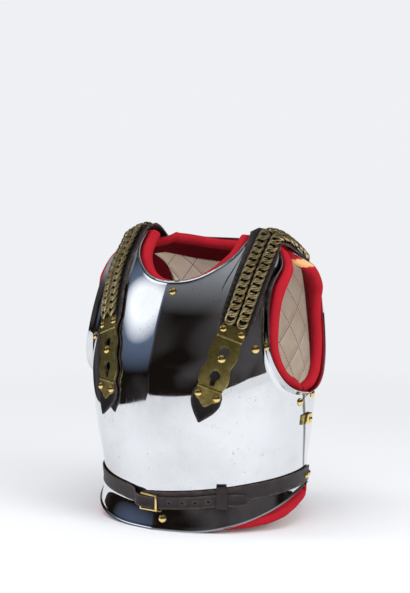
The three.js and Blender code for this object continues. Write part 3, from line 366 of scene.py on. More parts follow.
def new_piece(name, mesh, finish, nodes):
    piece = bpy.data.objects.new(name, mesh)
    bpy.context.scene.collection.objects.link(piece)
    mesh.materials.clear()
    mesh.materials.append(finish)
    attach(piece, "root")
    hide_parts(*nodes)
    return piece


def add_attribute(mesh, name, values):
    attribute = mesh.attributes.new(name, "FLOAT", "POINT")
    attribute.data.foreach_set("value", np.asarray(values, float).ravel())


def add_uv(mesh, coordinates):
    layer = mesh.uv_layers.new(name="surface")
    corners = np.zeros(len(mesh.loops), int)
    mesh.loops.foreach_get("vertex_index", corners)
    layer.data.foreach_set("uv", np.asarray(coordinates, float).reshape(-1, 2)[corners].ravel())


def mirrored(grid):
    other = grid[:, :0:-1].copy()
    other[..., 0] *= -1
    return np.concatenate([other, grid], axis=1)


# The loop of grid places round the border of a grid
def border(rows, columns):
    corner = np.arange(rows * columns).reshape(rows, columns)
    return np.concatenate([corner[0, :-1], corner[:-1, -1], corner[-1, :0:-1], corner[:0:-1, 0]])


# A sheet with a thickness and rounded edges, from its outer and inner grids
EDGE_TURNS = (0.25, 0.5, 0.75)


def thick_sheet(outer, inner, bulge):
    rows, columns = outer.shape[:2]
    count = rows * columns
    flat_outer = outer.reshape(-1, 3)
    flat_inner = inner.reshape(-1, 3)
    loop = border(rows, columns)
    j, i = np.divmod(loop, columns)
    behind = np.clip(j, 1, rows - 2) * columns + np.clip(i, 1, columns - 2)
    across = (flat_outer[loop] - flat_inner[loop]) / 2
    leading = flat_outer[loop] - flat_outer[behind]
    leading = leading - across * dot(leading, across) / np.maximum(dot(across, across), 1e-9)
    leading = unit(leading) * bulge
    middle = (flat_outer[loop] + flat_inner[loop]) / 2
    rounds = [
        middle + across * math.cos(turn * math.pi) + leading * math.sin(turn * math.pi)
        for turn in EDGE_TURNS
    ]
    points = np.concatenate([flat_outer, flat_inner, *rounds])
    points[:, 2] = np.maximum(points[:, 2], 0)
    outer_faces = face_grid(rows, columns)
    faces = outer_faces + [[a + count for a in reversed(face)] for face in outer_faces]
    size = len(loop)
    rings = [loop, *(2 * count + k * size + np.arange(size) for k in range(len(EDGE_TURNS))), loop + count]
    for near, far in zip(rings[:-1], rings[1:]):
        quads = np.stack([near, far, np.roll(far, -1), np.roll(near, -1)], -1)
        faces += quads.tolist()
    return points, faces


def grid_normals(grid, split_row):
    round_way = np.gradient(grid, axis=1)
    up = np.gradient(grid, axis=0)
    up[split_row - 1] = grid[split_row - 1] - grid[split_row - 2]
    up[split_row] = grid[split_row + 1] - grid[split_row]
    normals = np.cross(round_way, up)
    normals[:, 0, 0] = 0
    return unit(normals)


# Polished plates
ARM_FLANGE = [(0, 0), (3, 1.2), (4.9, 3.6), (8.3, 11)]
NECK_RIM = [(0, 0), (1.8, 0.6), (3, 2.4)]
FLANGE_STEPS = 9
RIM_STEPS = 5
LIP_STEPS = 4
PLATE_COLUMNS = np.concatenate([np.linspace(0, NECK_SHARE, 46), np.linspace(NECK_SHARE, 1, 26)[1:]])
PLATE_ROWS = np.concatenate([
    np.linspace(0, SEAM_SHARE - CORNER_STEP, 44), [SEAM_SHARE], np.linspace(SEAM_SHARE, 1, 84)[1:],
])
EDGE_BULGE = 0.5


def rim_profile(table, steps):
    reach, out = np.array(table, float).T
    along = np.concatenate([[0], np.cumsum(np.hypot(np.diff(reach), np.diff(out)))])
    shares = np.arange(1, steps + 1) / steps
    marks = shares * along[-1]
    return shares, gentle_curve(along, reach)(marks), gentle_curve(along, out)(marks)


def plate_mesh(name, patch, thickness):
    last_column = len(PLATE_COLUMNS) - 1
    last_row = len(PLATE_ROWS) - 1
    column = np.minimum(np.arange(last_column + 1 + FLANGE_STEPS), last_column)
    row = np.clip(np.arange(-LIP_STEPS, last_row + 1 + RIM_STEPS), 0, last_row)
    u, v = np.meshgrid(PLATE_COLUMNS[column], PLATE_ROWS[row])
    grid = patch.at(u, v)

    _, reach, out = patch.edge_frame(1.0, PLATE_ROWS[row], "side")
    full = np.where(PLATE_ROWS[row] < SEAM_SHARE, 0, smooth((1 - PLATE_ROWS[row]) / FLANGE_FADE))[:, None]
    for k, (share, far, high) in enumerate(zip(*rim_profile(ARM_FLANGE, FLANGE_STEPS))):
        step = reach * lerp(SEAM_LAP * share, far, full) + out * high * full
        grid[:, last_column + 1 + k] += step

    _, reach, out = patch.edge_frame(PLATE_COLUMNS[column], 1.0, "top")
    full = smooth((NECK_SHARE - PLATE_COLUMNS[column]) / NECK_RIM_FADE)[:, None]
    for k, (share, far, high) in enumerate(zip(*rim_profile(NECK_RIM, RIM_STEPS))):
        step = reach * lerp(SEAM_LAP * share, far, full) + out * high * full
        grid[LIP_STEPS + last_row + 1 + k] += step

    _, _, out = patch.edge_frame(PLATE_COLUMNS[column], 0.0, "bottom")
    degrees, level = patch.place(PLATE_COLUMNS[column], 0.0)
    top_height = grid[LIP_STEPS, :, 2].copy()
    for k in range(LIP_STEPS):
        fall = (LIP_STEPS - k) / LIP_STEPS
        grid[k] += out * LIP_OUT * fall ** 2
        grid[k, :, 2] = lerp(top_height, level - LIP_REACH, fall)
    grid[:, 0, 0] = 0

    split_row = LIP_STEPS + int(np.searchsorted(PLATE_ROWS, SEAM_SHARE))
    facing = -1 if patch.back else 1
    inner = grid - grid_normals(grid, split_row) * thickness * facing
    outwards = torso_normal(degrees, level)
    outwards[:, 2] = 0
    inner[0] = grid[0] - unit(outwards) * thickness
    inner[:, 0, 0] = 0
    points, faces = thick_sheet(mirrored(grid), mirrored(inner), EDGE_BULGE)
    mesh = new_mesh(name, points, faces)
    beside_seam = np.zeros(grid.shape[:2])
    beside_seam[:split_row, last_column:] = 1
    whole = mirrored_value(beside_seam, False)
    loop = border(*whole.shape)
    rounds = [whole.ravel()[loop]] * len(EDGE_TURNS)
    add_attribute(mesh, "seam", np.concatenate([whole.ravel(), whole.ravel(), *rounds]))
    return mesh


# Wool edgings: a padded roll round each plate with a flat facing behind it
NECK_ROLL = {"radius": 8, "reach": 3, "rise": 9, "out": -12.2, "side_out": -9.5}
SHOULDER_ROLL = (6.5, 3, -9.4)
FLAT_ROLL = (2.2, -3, -6.7)
FRONT_ARM_ROLLS = np.array([
    (0.4, 7, 9.5, -7.6), (0.47, 8, 19, -4.5), (0.72, 8, 20.5, -4), (0.8, 8, 21.5, -1),
    (0.87, 8, 22, 3.5), (0.94, 8, 19.5, 3.5), (1, 6.5, 8, -8),
])
BACK_ARM_ROLLS = np.array([
    (0.4, 7, 9.5, -7.6), (0.47, 8, 13.8, -3), (0.72, 8, 13.8, -3), (0.8, 8, 16.5, 0),
    (0.87, 8, 19.5, 4.5), (0.94, 8, 18.5, 3.5), (1, 6.5, 8, -8),
])
LIP_ROLL = {"radius": 7.5, "reach": -8, "drop": 25, "out": -12, "side_out": -6}
LIP_ROLL_FROM = 20
LIP_ROLL_TO = 80
FACING_FOLDS = np.linspace(0.94, 0.28, 10)
ROLL_SIDES = 22
ROLL_NECK = math.radians(36)
ROLL_LUMPS = 0.55
LUMP_LENGTH = 22
STEEPEST_RISE = 0.98
LOWEST_WOOL = 0.5
ROLL_STATIONS = {"neck": 56, "shoulder": 18, "arm": 96, "seam": 30, "lip": 76}


def edging_rolls(patch):
    u = np.linspace(0, NECK_SHARE - END_STEP, ROLL_STATIONS["neck"])
    rise = smooth(u / NECK_SHARE)
    neck_out = lerp(NECK_ROLL["out"], NECK_ROLL["side_out"], rise)
    neck_reach = NECK_ROLL["reach"] + NECK_ROLL["rise"] * rise
    runs = [(u, 1 + 0 * u, "top", np.stack([NECK_ROLL["radius"] + 0 * u, neck_reach, neck_out]))]
    u = np.linspace(NECK_SHARE + END_STEP, 1 - END_STEP, ROLL_STATIONS["shoulder"])
    runs.append((u, 1 + 0 * u, "top", np.array(SHOULDER_ROLL)[:, None] + 0 * u))
    v = np.linspace(1 - END_STEP, SEAM_SHARE + END_STEP, ROLL_STATIONS["arm"])
    rolls = BACK_ARM_ROLLS if patch.back else FRONT_ARM_ROLLS
    arm = np.stack([gentle_curve(rolls[:, 0], rolls[:, k])(v) for k in (1, 2, 3)])
    runs.append((1 + 0 * v, v, "side", arm))
    v = np.linspace(SEAM_SHARE - 0.5 * CORNER_STEP, END_STEP, ROLL_STATIONS["seam"])
    runs.append((1 + 0 * v, v, "side", np.array(FLAT_ROLL)[:, None] + 0 * v))
    u = np.linspace(1 - END_STEP, 0, ROLL_STATIONS["lip"])
    degrees, _ = patch.place(u, 0.0)
    own = patch.body_degrees(degrees)
    fall = smooth((own - LIP_ROLL_FROM) / (LIP_ROLL_TO - LIP_ROLL_FROM))
    lip_out = lerp(LIP_ROLL["out"], LIP_ROLL["side_out"], fall)
    lip = np.stack([LIP_ROLL["radius"] + 0 * u, LIP_ROLL["reach"] + LIP_ROLL["drop"] * fall, lip_out])
    runs.append((u, 0 * u, "bottom", lip))
    return runs


def edging_sections(patch, canvas, thickness, run):
    u, v, side, (radius, reach, out) = run
    face_out = -thickness - LINING_GAP
    face_in = face_out - FACING_THICKNESS
    edge = np.stack(patch.place(u, v))
    inside = np.stack(canvas.place(u, v))
    here, away, normal = patch.edge_frame(u, v, side)
    rise_out = np.arcsin(np.clip((face_out - out) / radius, -STEEPEST_RISE, STEEPEST_RISE))
    rise_in = np.arcsin(np.clip((face_in - out) / radius, -STEEPEST_RISE, STEEPEST_RISE))
    middle = (rise_out + rise_in) / 2
    spread = np.maximum((rise_out - rise_in) / 2, ROLL_NECK / 2)
    folds = [skin(*lerp(edge, inside, share), face_out + 0 * u) for share in FACING_FOLDS]
    for k in range(ROLL_SIDES + 1):
        angle = lerp(math.pi - middle - spread, -math.pi - middle + spread, k / ROLL_SIDES)
        across = away * (reach + radius * np.cos(angle))[:, None]
        folds.append(here + across + normal * (out + radius * np.sin(angle))[:, None])
    folds += [skin(*lerp(edge, inside, share), face_in + 0 * u) for share in FACING_FOLDS[::-1]]
    return np.stack(folds, 1)


# Hand-stuffed wool is never quite even, so the roll swells and sinks a little along its length
def swell(points, middle, amount, length):
    away = unit(points - middle)
    lumps = np.array([noise.noise(Vector(point / length)) for point in points.reshape(-1, 3)])
    return points + away * (amount * lumps.reshape(points.shape[:-1]))[..., None]


def edging_mesh(name, patch, canvas, thickness):
    half = np.concatenate([
        edging_sections(patch, canvas, thickness, run) for run in edging_rolls(patch)
    ])
    half[0, :, 0] = 0
    half[-1, :, 0] = 0
    other = half[-2:0:-1].copy()
    other[..., 0] *= -1
    sections = np.concatenate([half, other])
    fold = len(FACING_FOLDS)
    roll = sections[:, fold:-fold]
    sections[:, fold:-fold] = swell(roll, roll.mean(axis=1, keepdims=True), ROLL_LUMPS, LUMP_LENGTH)
    sections[..., 2] = np.maximum(sections[..., 2], LOWEST_WOOL)
    stations, size = sections.shape[:2]
    place = np.arange(stations * size).reshape(stations, size)
    after = np.roll(place, -1, axis=0)
    quads = [place, np.roll(place, -1, axis=1), np.roll(after, -1, axis=1), after]
    mesh = new_mesh(name, sections, np.stack(quads, -1).reshape(-1, 4).tolist(), 70)
    # The roll attribute is 1 on the roll and 0 on the facing, which the wool finish paints darker as painted
    # shade
    around = np.zeros((stations, size))
    around[:, fold:-fold] = 1
    add_attribute(mesh, "roll", around)
    return mesh


# Quilted canvas linings
QUILT_ACROSS = 44
QUILT_UP = 62
QUILT_PUFF = 2.2
QUILT_GROOVE = 0.16
QUILT_SINK = 0.6
CANVAS_BULGE = 0.6
SIDE_FADE = 0.05
END_FADE = 0.04
MM_PER_DEGREE = 2.7
CANVAS_COLUMNS = np.linspace(0, 1, 90)
CANVAS_ROWS = np.linspace(0, 1, 130)


def quilt_lines(across, up):
    one = np.abs((across / QUILT_ACROSS + up / QUILT_UP + 0.5) % 1 - 0.5)
    other = np.abs((across / QUILT_ACROSS - up / QUILT_UP + 0.5) % 1 - 0.5)
    return np.minimum(one, other)


def lining_mesh(name, canvas, thickness):
    u, v = np.meshgrid(CANVAS_COLUMNS, CANVAS_ROWS)
    degrees, level = canvas.place(u, v)
    across = canvas.body_degrees(degrees) * MM_PER_DEGREE
    puff = QUILT_PUFF * smooth(quilt_lines(across, level) / QUILT_GROOVE)
    edge = smooth((1 - u) / SIDE_FADE) * smooth(v / END_FADE) * smooth((1 - v) / END_FADE)
    out = -thickness - LINING_GAP
    outer = mirrored(canvas.at(u, v, out + 0 * u))
    inner = mirrored(canvas.at(u, v, out - LINING_THICKNESS - (puff - QUILT_SINK) * edge))
    points, faces = thick_sheet(outer, inner, CANVAS_BULGE)
    mesh = new_mesh(name, points, faces, 60)
    flat = np.stack([mirrored_value(across, True), mirrored_value(level, False)], -1).reshape(-1, 2)
    loop = border(outer.shape[0], outer.shape[1])
    rounds = [flat[loop]] * len(EDGE_TURNS)
    add_uv(mesh, np.concatenate([flat, flat, *rounds]) * MM)
    return mesh


def mirrored_value(grid, turned):
    other = grid[:, :0:-1]
    return np.concatenate([-other if turned else other, grid], axis=1)


# Shoulder straps. A strap lies along a line of level by degrees; places on it are millimetres
# below its upper rib, and across towards the wearer's left.
STRAP_LINES = {
    "left": [
        (150, 24), (169, 26), (208, 29.8), (240, 33.2), (272, 36.6), (330, 43.4), (375, 49.2),
        (440, 57.5), (TOP, 60.3), (530, 56.5), (590, 49),
    ],
    "right": [
        (150, 28.4), (169, 28.2), (208, 26.8), (240, 26.6), (272, 29.8), (330, 37), (375, 44.8),
        (440, 55.8), (TOP, 60.3), (530, 56.5), (590, 49),
    ],
}
UPPER_RIB_LEVEL = 286
RIBS = (0, 76)
RIB_HALF = 1.9
RIB_HEIGHT = 1.6
RIB_SHARES = (-1, -0.85, -0.6, -0.3, 0, 0.3, 0.6, 0.85, 1)
STRAP_SEAT = 1.5
LEATHER_TOP = STRAP_SEAT + LEATHER_THICKNESS
BRASS_SEAT = LEATHER_TOP + SEAT_GAP
BRASS_TOP = BRASS_SEAT + BRASS_THICKNESS
CHAIN_START = -18
CHAIN_END = -262
TIP_LIFT_FROM = 88
TIP_END = 126
TIP_LIFT = 8
LEATHER_OUTLINE = [
    (-288, 12), (-284, 19), (-274, 22), (-250, 24.5), (-30, 24.5), (-16, 23.5), (-4, 18.2),
    (4, 17), (22, 20), (43, 16.6), (60, 21), (75, 17), (85, 21.6), (95, 22), (105, 18.5),
    (115, 11.5), (123, 4), (TIP_END, 1.2),
]
BRASS_OUTLINE = [
    (-20, 16.5), (-12, 18.8), (-2, 18.6), (2, 18.2), (12, 20), (22, 21.2), (33, 19.8),
    (43, 17.6), (52, 20.6), (60, 22), (68, 20.4), (74, 18), (78, 18), (87, 19.3), (93, 15),
    (96, 9), (99, 6.5), (103, 1.2),
]
KEYHOLES = (20, 56)
KEYHOLE_RADIUS = 7.2
KEYHOLE_SLOT_HALF = 3.8
KEYHOLE_SLOT_LENGTH = 15.5
KEYHOLE_TURNS = 26
STRAP_STUD_ROWS = {"upper": -10.8, "lower": RIBS[1] + 10.5, "rear": CHAIN_END - 10}
STRAP_STUD_ACROSS = 13.3
STRAP_STUD_SIZE = 0.9
KEYHOLE_STUD_DROP = 11
KEYHOLE_STUD_SIZE = 1.05


def strap_map(line, turned):
    level_marks, degree_marks = np.array(line, float).T
    degrees_at = spline(level_marks, degree_marks)
    samples = np.arange(level_marks[0], level_marks[-1] + 1, 2.0)
    gaps = np.linalg.norm(np.diff(torso(degrees_at(samples), samples), axis=0), axis=1)
    lengths = np.concatenate([[0], np.cumsum(gaps)])
    rib_length = np.interp(UPPER_RIB_LEVEL, samples, lengths)
    step = 0.5

    def place(across, along, height):
        across, along, height = np.broadcast_arrays(
            np.asarray(across, float), np.asarray(along, float), np.asarray(height, float))
        level = np.interp(rib_length - along, lengths, samples)
        degrees = degrees_at(level)
        up = torso(degrees_at(level + step), level + step) - torso(degrees_at(level - step), level - step)
        sideways = unit(np.cross(unit(up), torso_normal(degrees, level)))
        per_degree = torso(degrees + step, level) - torso(degrees - step, level)
        per_level = torso(degrees, level + step) - torso(degrees, level - step)
        aa, ab, bb = ((p * q).sum(-1) for p, q in (
            (per_degree, per_degree), (per_degree, per_level), (per_level, per_level)))
        a = (per_degree * sideways).sum(-1)
        b = (per_level * sideways).sum(-1)
        whole = aa * bb - ab * ab
        own = -across if turned else across
        past = np.maximum(along - TIP_LIFT_FROM, 0) / (TIP_END - TIP_LIFT_FROM)
        turn = own * (a * bb - b * ab) / whole
        rise = own * (b * aa - a * ab) / whole
        points = skin(degrees + turn, level + rise, height + TIP_LIFT * past ** 2)
        if turned:
            points[..., 0] *= -1
        return points

    return place


# A loop with its long edges divided
def divided(loop, step):
    points = []
    for start, end in zip(loop, np.roll(loop, -1, axis=0)):
        parts = max(int(round(np.linalg.norm(end - start) / step)), 1)
        points += [lerp(start, end, k / parts) for k in range(parts)]
    return np.array(points)


def outline_loop(table, step):
    along, half = np.array(table, float).T
    marks = [
        np.linspace(start, end, max(int(round((end - start) / step)), 1), endpoint=False)
        for start, end in zip(along[:-1], along[1:])
    ]
    marks = np.concatenate([*marks, along[-1:]])
    width = gentle_curve(along, half)(marks)
    right = np.stack([width, marks], -1)
    left = np.stack([-width, marks], -1)[::-1]
    return divided(np.concatenate([right, left]), step)


def keyhole_loop(along):
    opening = math.asin(KEYHOLE_SLOT_HALF / KEYHOLE_RADIUS)
    turns = np.linspace(math.pi / 2 + opening, 5 * math.pi / 2 - opening, KEYHOLE_TURNS)
    ring = KEYHOLE_RADIUS * np.stack([np.cos(turns), np.sin(turns)], -1)
    cap_turns = np.linspace(0, math.pi, KEYHOLE_TURNS // 2)
    cap = KEYHOLE_SLOT_HALF * np.stack([np.cos(cap_turns), np.sin(cap_turns)], -1)
    cap[:, 1] += KEYHOLE_SLOT_LENGTH - KEYHOLE_SLOT_HALF
    loop = np.concatenate([ring, cap])
    loop[:, 1] += along
    return loop[::-1]


def round_loop(across, along, radius, turns=14):
    angles = np.linspace(2 * math.pi, 0, turns, endpoint=False)
    return np.stack([across + radius * np.cos(angles), along + radius * np.sin(angles)], -1)


def is_inside(points, loops):
    crossings = np.zeros(len(points), int)
    for loop in loops:
        start, end = loop, np.roll(loop, -1, axis=0)
        x, y = points[:, :1], points[:, 1:]
        straddles = (start[:, 1] > y) != (end[:, 1] > y)
        rise = np.where(end[:, 1] == start[:, 1], 1, end[:, 1] - start[:, 1])
        at = start[:, 0] + (y - start[:, 1]) * (end[:, 0] - start[:, 0]) / rise
        crossings += (straddles & (x < at)).sum(1)
    return crossings % 2 == 1


# A flat part cut to an outline with holes: round-edged, evenly meshed, then laid by its map
def cut_part(name, loops, low, high, edge, spacing, place, raise_top=None, extra_rows=()):
    ways = [np.roll(loop, -1, axis=0) - np.roll(loop, 1, axis=0) for loop in loops]
    inward = [unit(np.stack([-way[:, 1], way[:, 0]], -1)) for way in ways]
    inset = [loop + leading * edge for loop, leading in zip(loops, inward)]
    lowest = loops[0].min(0)
    highest = loops[0].max(0)
    rows = np.unique(np.concatenate([np.arange(lowest[1], highest[1], spacing), extra_rows]))
    columns = np.arange(lowest[0] + spacing / 2, highest[0], spacing)
    middle = np.stack(np.meshgrid(columns, rows), -1).reshape(-1, 2)
    ring_points = np.concatenate(inset)
    gap = np.linalg.norm(middle[:, None] - ring_points[None], axis=-1).min(1)
    middle = middle[is_inside(middle, inset) & (gap > spacing * 0.4)]
    flat = np.concatenate([ring_points, middle])
    edges = []
    starts = np.cumsum([0] + [len(loop) for loop in loops])
    for start, loop in zip(starts, loops):
        size = len(loop)
        edges += [(int(start + k), int(start + (k + 1) % size)) for k in range(size)]
    made = delaunay_2d_cdt([Vector(point) for point in flat], edges, [], 0, 1e-4)
    back_to = [source[0] for source in made[3]]
    triangles = np.array([[back_to[k] for k in face] for face in made[2]])
    triangles = triangles[is_inside(flat[triangles].mean(1), inset)]

    count = len(flat)
    ring_count = len(ring_points)
    layers = [(0.3, high - 0.3 * edge), (0, high - edge), (0, low + edge), (0.3, low + 0.3 * edge)]
    points = [np.column_stack([flat, np.full(count, high)]), np.column_stack([flat, np.full(count, low)])]
    whole = np.concatenate(loops)
    leading = np.concatenate(inward)
    for share, height in layers:
        points.append(np.column_stack([whole + leading * edge * share, np.full(ring_count, height)]))
    points = np.concatenate(points)
    # Edge shares for the leather's lighter edges, a painted highlight where the rounded edge catches light:
    # the rounded sides get 1 and the top face's rim 0.6
    worn = np.zeros(len(points))
    worn[2 * count:] = 1
    worn[:ring_count] = 0.6
    if raise_top:
        above = points[:, 2] > (low + high) / 2
        points[above, 2] += raise_top(points[above, 1])

    faces = triangles.tolist() + (triangles[:, ::-1] + count).tolist()
    order = [0, *(2 * count + k * ring_count for k in range(len(layers))), count]
    for start, loop in zip(starts, loops):
        size = len(loop)
        here = start + np.arange(size)
        after = start + (np.arange(size) + 1) % size
        for near, far in zip(order[:-1], order[1:]):
            faces += np.stack([near + here, near + after, far + after, far + here], -1).tolist()
    mesh = new_mesh(name, place(points[:, 0], points[:, 1], points[:, 2]), faces, 50)
    add_attribute(mesh, "edge", worn)
    add_uv(mesh, points[:, :2] * MM)
    return mesh


def rib_rise(along):
    rise = np.zeros_like(along)
    for rib in RIBS:
        share = np.clip(np.abs(along - rib) / RIB_HALF, 0, 1)
        rise = np.maximum(rise, RIB_HEIGHT * np.sqrt(1 - share ** 2))
    return rise


# Copies of one part set on seats, each seat with its own turn, as one mesh
def seat_tree():
    tree = bpy.data.node_groups.new("copies_on_seats", "GeometryNodeTree")
    sockets = tree.interface
    sockets.new_socket("Seats", in_out="INPUT", socket_type="NodeSocketGeometry")
    sockets.new_socket("Copied part", in_out="INPUT", socket_type="NodeSocketObject")
    sockets.new_socket("Size", in_out="INPUT", socket_type="NodeSocketFloat")
    sockets.new_socket("Finish", in_out="INPUT", socket_type="NodeSocketMaterial")
    sockets.new_socket("Copies", in_out="OUTPUT", socket_type="NodeSocketGeometry")
    given = tree.nodes.new("NodeGroupInput")
    result = tree.nodes.new("NodeGroupOutput")
    turn = tree.nodes.new("GeometryNodeInputNamedAttribute")
    turn.data_type = "FLOAT_VECTOR"
    turn.inputs["Name"].default_value = "turn"
    to_rotation = tree.nodes.new("FunctionNodeEulerToRotation")
    copied = tree.nodes.new("GeometryNodeObjectInfo")
    copies = tree.nodes.new("GeometryNodeInstanceOnPoints")
    realized = tree.nodes.new("GeometryNodeRealizeInstances")
    finished = tree.nodes.new("GeometryNodeSetMaterial")
    link = tree.links.new
    link(given.outputs["Seats"], copies.inputs["Points"])
    link(given.outputs["Copied part"], copied.inputs["Object"])
    link(copied.outputs["Geometry"], copies.inputs["Instance"])
    link(turn.outputs["Attribute"], to_rotation.inputs["Euler"])
    link(to_rotation.outputs["Rotation"], copies.inputs["Rotation"])
    link(given.outputs["Size"], copies.inputs["Scale"])
    link(copies.outputs["Instances"], realized.inputs["Geometry"])
    link(realized.outputs["Geometry"], finished.inputs["Geometry"])
    link(given.outputs["Finish"], finished.inputs["Material"])
    link(finished.outputs["Geometry"], result.inputs["Copies"])
    return tree


COPIES = seat_tree()


# A seat is a point, the way its x axis leads, and the way out
def turn_of(leading, out):
    out = Vector(out).normalized()
    leading = Vector(leading)
    leading = (leading - out * leading.dot(out)).normalized()
    return Matrix((leading, out.cross(leading), out)).transposed().to_euler("XYZ")


def copies_mesh(name, seats, part_mesh, size, finish):
    points = bpy.data.meshes.new(name)
    points.from_pydata([(np.asarray(point) * MM).tolist() for point, _, _ in seats], [], [])
    turns = points.attributes.new("turn", "FLOAT_VECTOR", "POINT")
    flat = [value for _, leading, out in seats for value in turn_of(leading, out)]
    turns.data.foreach_set("vector", flat)
    part = bpy.data.objects.new(name + "_part", part_mesh)
    holder = bpy.data.objects.new(name + "_seats", points)
    bpy.context.scene.collection.objects.link(part)
    bpy.context.scene.collection.objects.link(holder)
    modifier = holder.modifiers.new("copies", "NODES")
    modifier.node_group = COPIES
    values = {"Copied part": part, "Size": size, "Finish": finish}
    for socket in COPIES.interface.items_tree:
        if socket.name in values:
            modifier[socket.identifier] = values[socket.name]
    whole = holder.evaluated_get(bpy.context.evaluated_depsgraph_get())
    mesh = bpy.data.meshes.new_from_object(whole)
    mesh.name = name
    bpy.data.objects.remove(holder)
    bpy.data.objects.remove(part)
    return mesh


# A tube bent along a closed loop of points
def closed_tube(name, path, radius, sides):
    ahead = unit(np.roll(path, -1, axis=0) - np.roll(path, 1, axis=0))
    outwards = path - path.mean(0)
    outwards = unit(outwards - ahead * dot(outwards, ahead))
    upwards = np.cross(ahead, outwards)
    turns = np.linspace(0, 2 * math.pi, sides, endpoint=False)
    rings = path[:, None] + radius * (
        outwards[:, None] * np.cos(turns)[:, None] + upwards[:, None] * np.sin(turns)[:, None])
    place = np.arange(len(path) * sides).reshape(len(path), sides)
    after = np.roll(place, -1, axis=0)
    quads = [place, np.roll(place, -1, axis=1), np.roll(after, -1, axis=1), after]
    return new_mesh(name, rings, np.stack(quads, -1).reshape(-1, 4).tolist(), 90)


# One ring of the curb chain: twisted so that it lies over its neighbour on one side and under it
# on the other. The rings come in pairs, and each passes through the rings of the next pair.
LINK_HALF_LENGTH = 7.5
LINK_HALF_WIDTH = 7.2
LINK_TWIST = 2.3
LINK_WIRE = 1.15
LINK_STATIONS = 22
LINK_SIDES = 8
PAIR_PITCH = 11.7
PAIR_STEP = 3.6
CHAIN_ACROSS = 8.8
CHAIN_HEIGHT = 8.9


def link_mesh():
    turns = np.linspace(0, 2 * math.pi, LINK_STATIONS, endpoint=False)
    path = np.stack([
        LINK_HALF_LENGTH * np.cos(turns), LINK_HALF_WIDTH * np.sin(turns), LINK_TWIST * np.sin(2 * turns),
    ], -1)
    return closed_tube("chain_ring", path, LINK_WIRE, LINK_SIDES)


def strap_seat(place, across, along, height):
    point = place(across, along, height)
    leading = place(across, along + 1, height) - place(across, along - 1, height)
    out = place(across, along, height + 1) - point
    return point, leading, out


def chain_seats(place):
    seats = []
    first = CHAIN_START - LINK_HALF_LENGTH - LINK_WIRE
    room = first - PAIR_STEP - CHAIN_END - LINK_HALF_LENGTH - LINK_WIRE
    for pair in range(int(room / PAIR_PITCH) + 1):
        for step in (0, PAIR_STEP):
            along = first - pair * PAIR_PITCH - step
            seats += [strap_seat(place, side * CHAIN_ACROSS, along, CHAIN_HEIGHT) for side in (-1, 1)]
    return seats


# Domed studs
STUD_RADIUS = 6
STUD_HEIGHT = 4.2
STUD_SIDES = 28
STUD_RINGS = 9
STUD_FOOT = 0.97
STUD_RIM = 0.25
DOME_FROM = 0.12
SHANK_RADIUS = 2.8


def stud_mesh(shank=0):
    dome = [
        (STUD_RADIUS * math.cos(turn), STUD_HEIGHT * math.sin(turn))
        for turn in np.linspace(DOME_FROM, math.pi / 2, STUD_RINGS)[:-1]
    ]
    profile = [(STUD_RADIUS * STUD_FOOT, 0), (STUD_RADIUS, STUD_RIM), *dome]
    if shank:
        profile = [(SHANK_RADIUS, -shank), (SHANK_RADIUS, 0), *profile]
    turns = np.linspace(0, 2 * math.pi, STUD_SIDES, endpoint=False)
    rings = np.array([
        [(radius * math.cos(turn), radius * math.sin(turn), height) for turn in turns]
        for radius, height in profile
    ])
    place = np.arange(rings[..., 0].size).reshape(len(profile), STUD_SIDES)
    quads = [place[:-1], np.roll(place, -1, axis=1)[:-1], np.roll(place, -1, axis=1)[1:], place[1:]]
    faces = np.stack(quads, -1).reshape(-1, 4).tolist()
    points = np.concatenate([rings.reshape(-1, 3), [(0, 0, STUD_HEIGHT)]])
    top = len(points) - 1
    faces += [[place[-1, k], place[-1, (k + 1) % STUD_SIDES], top] for k in range(STUD_SIDES)]
    faces.append(place[0, ::-1].tolist())
    return new_mesh("domed_stud", points, faces, 35)


def plate_seat(degrees, level, out):
    point = skin(degrees, level, out)
    return point, (1, 0, 0) if abs(degrees) < 45 else (0, 1, 0), torso_normal(degrees, level)


# A small part with its exact solid's shape and softened edges
def softened(name, nodes, edge, sharp=30):
    whole = bmesh.new()
    for node in nodes:
        whole.from_mesh(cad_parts[node].data)
    bmesh.ops.remove_doubles(whole, verts=whole.verts, dist=0.01 * MM)
    bmesh.ops.dissolve_limit(
        whole, angle_limit=math.radians(4), verts=whole.verts, edges=whole.edges)
    corners = [line for line in whole.edges if line.calc_face_angle(0) > math.radians(sharp)]
    bmesh.ops.bevel(whole, geom=corners, offset=edge * MM, segments=3, profile=0.5, affect="EDGES")
    bmesh.ops.recalc_face_normals(whole, faces=whole.faces)
    mesh = bpy.data.meshes.new(name)
    whole.to_mesh(mesh)
    whole.free()
    mesh.polygons.foreach_set("use_smooth", [True] * len(mesh.polygons))
    mesh.set_sharp_from_angle(angle=math.radians(40))
    return mesh


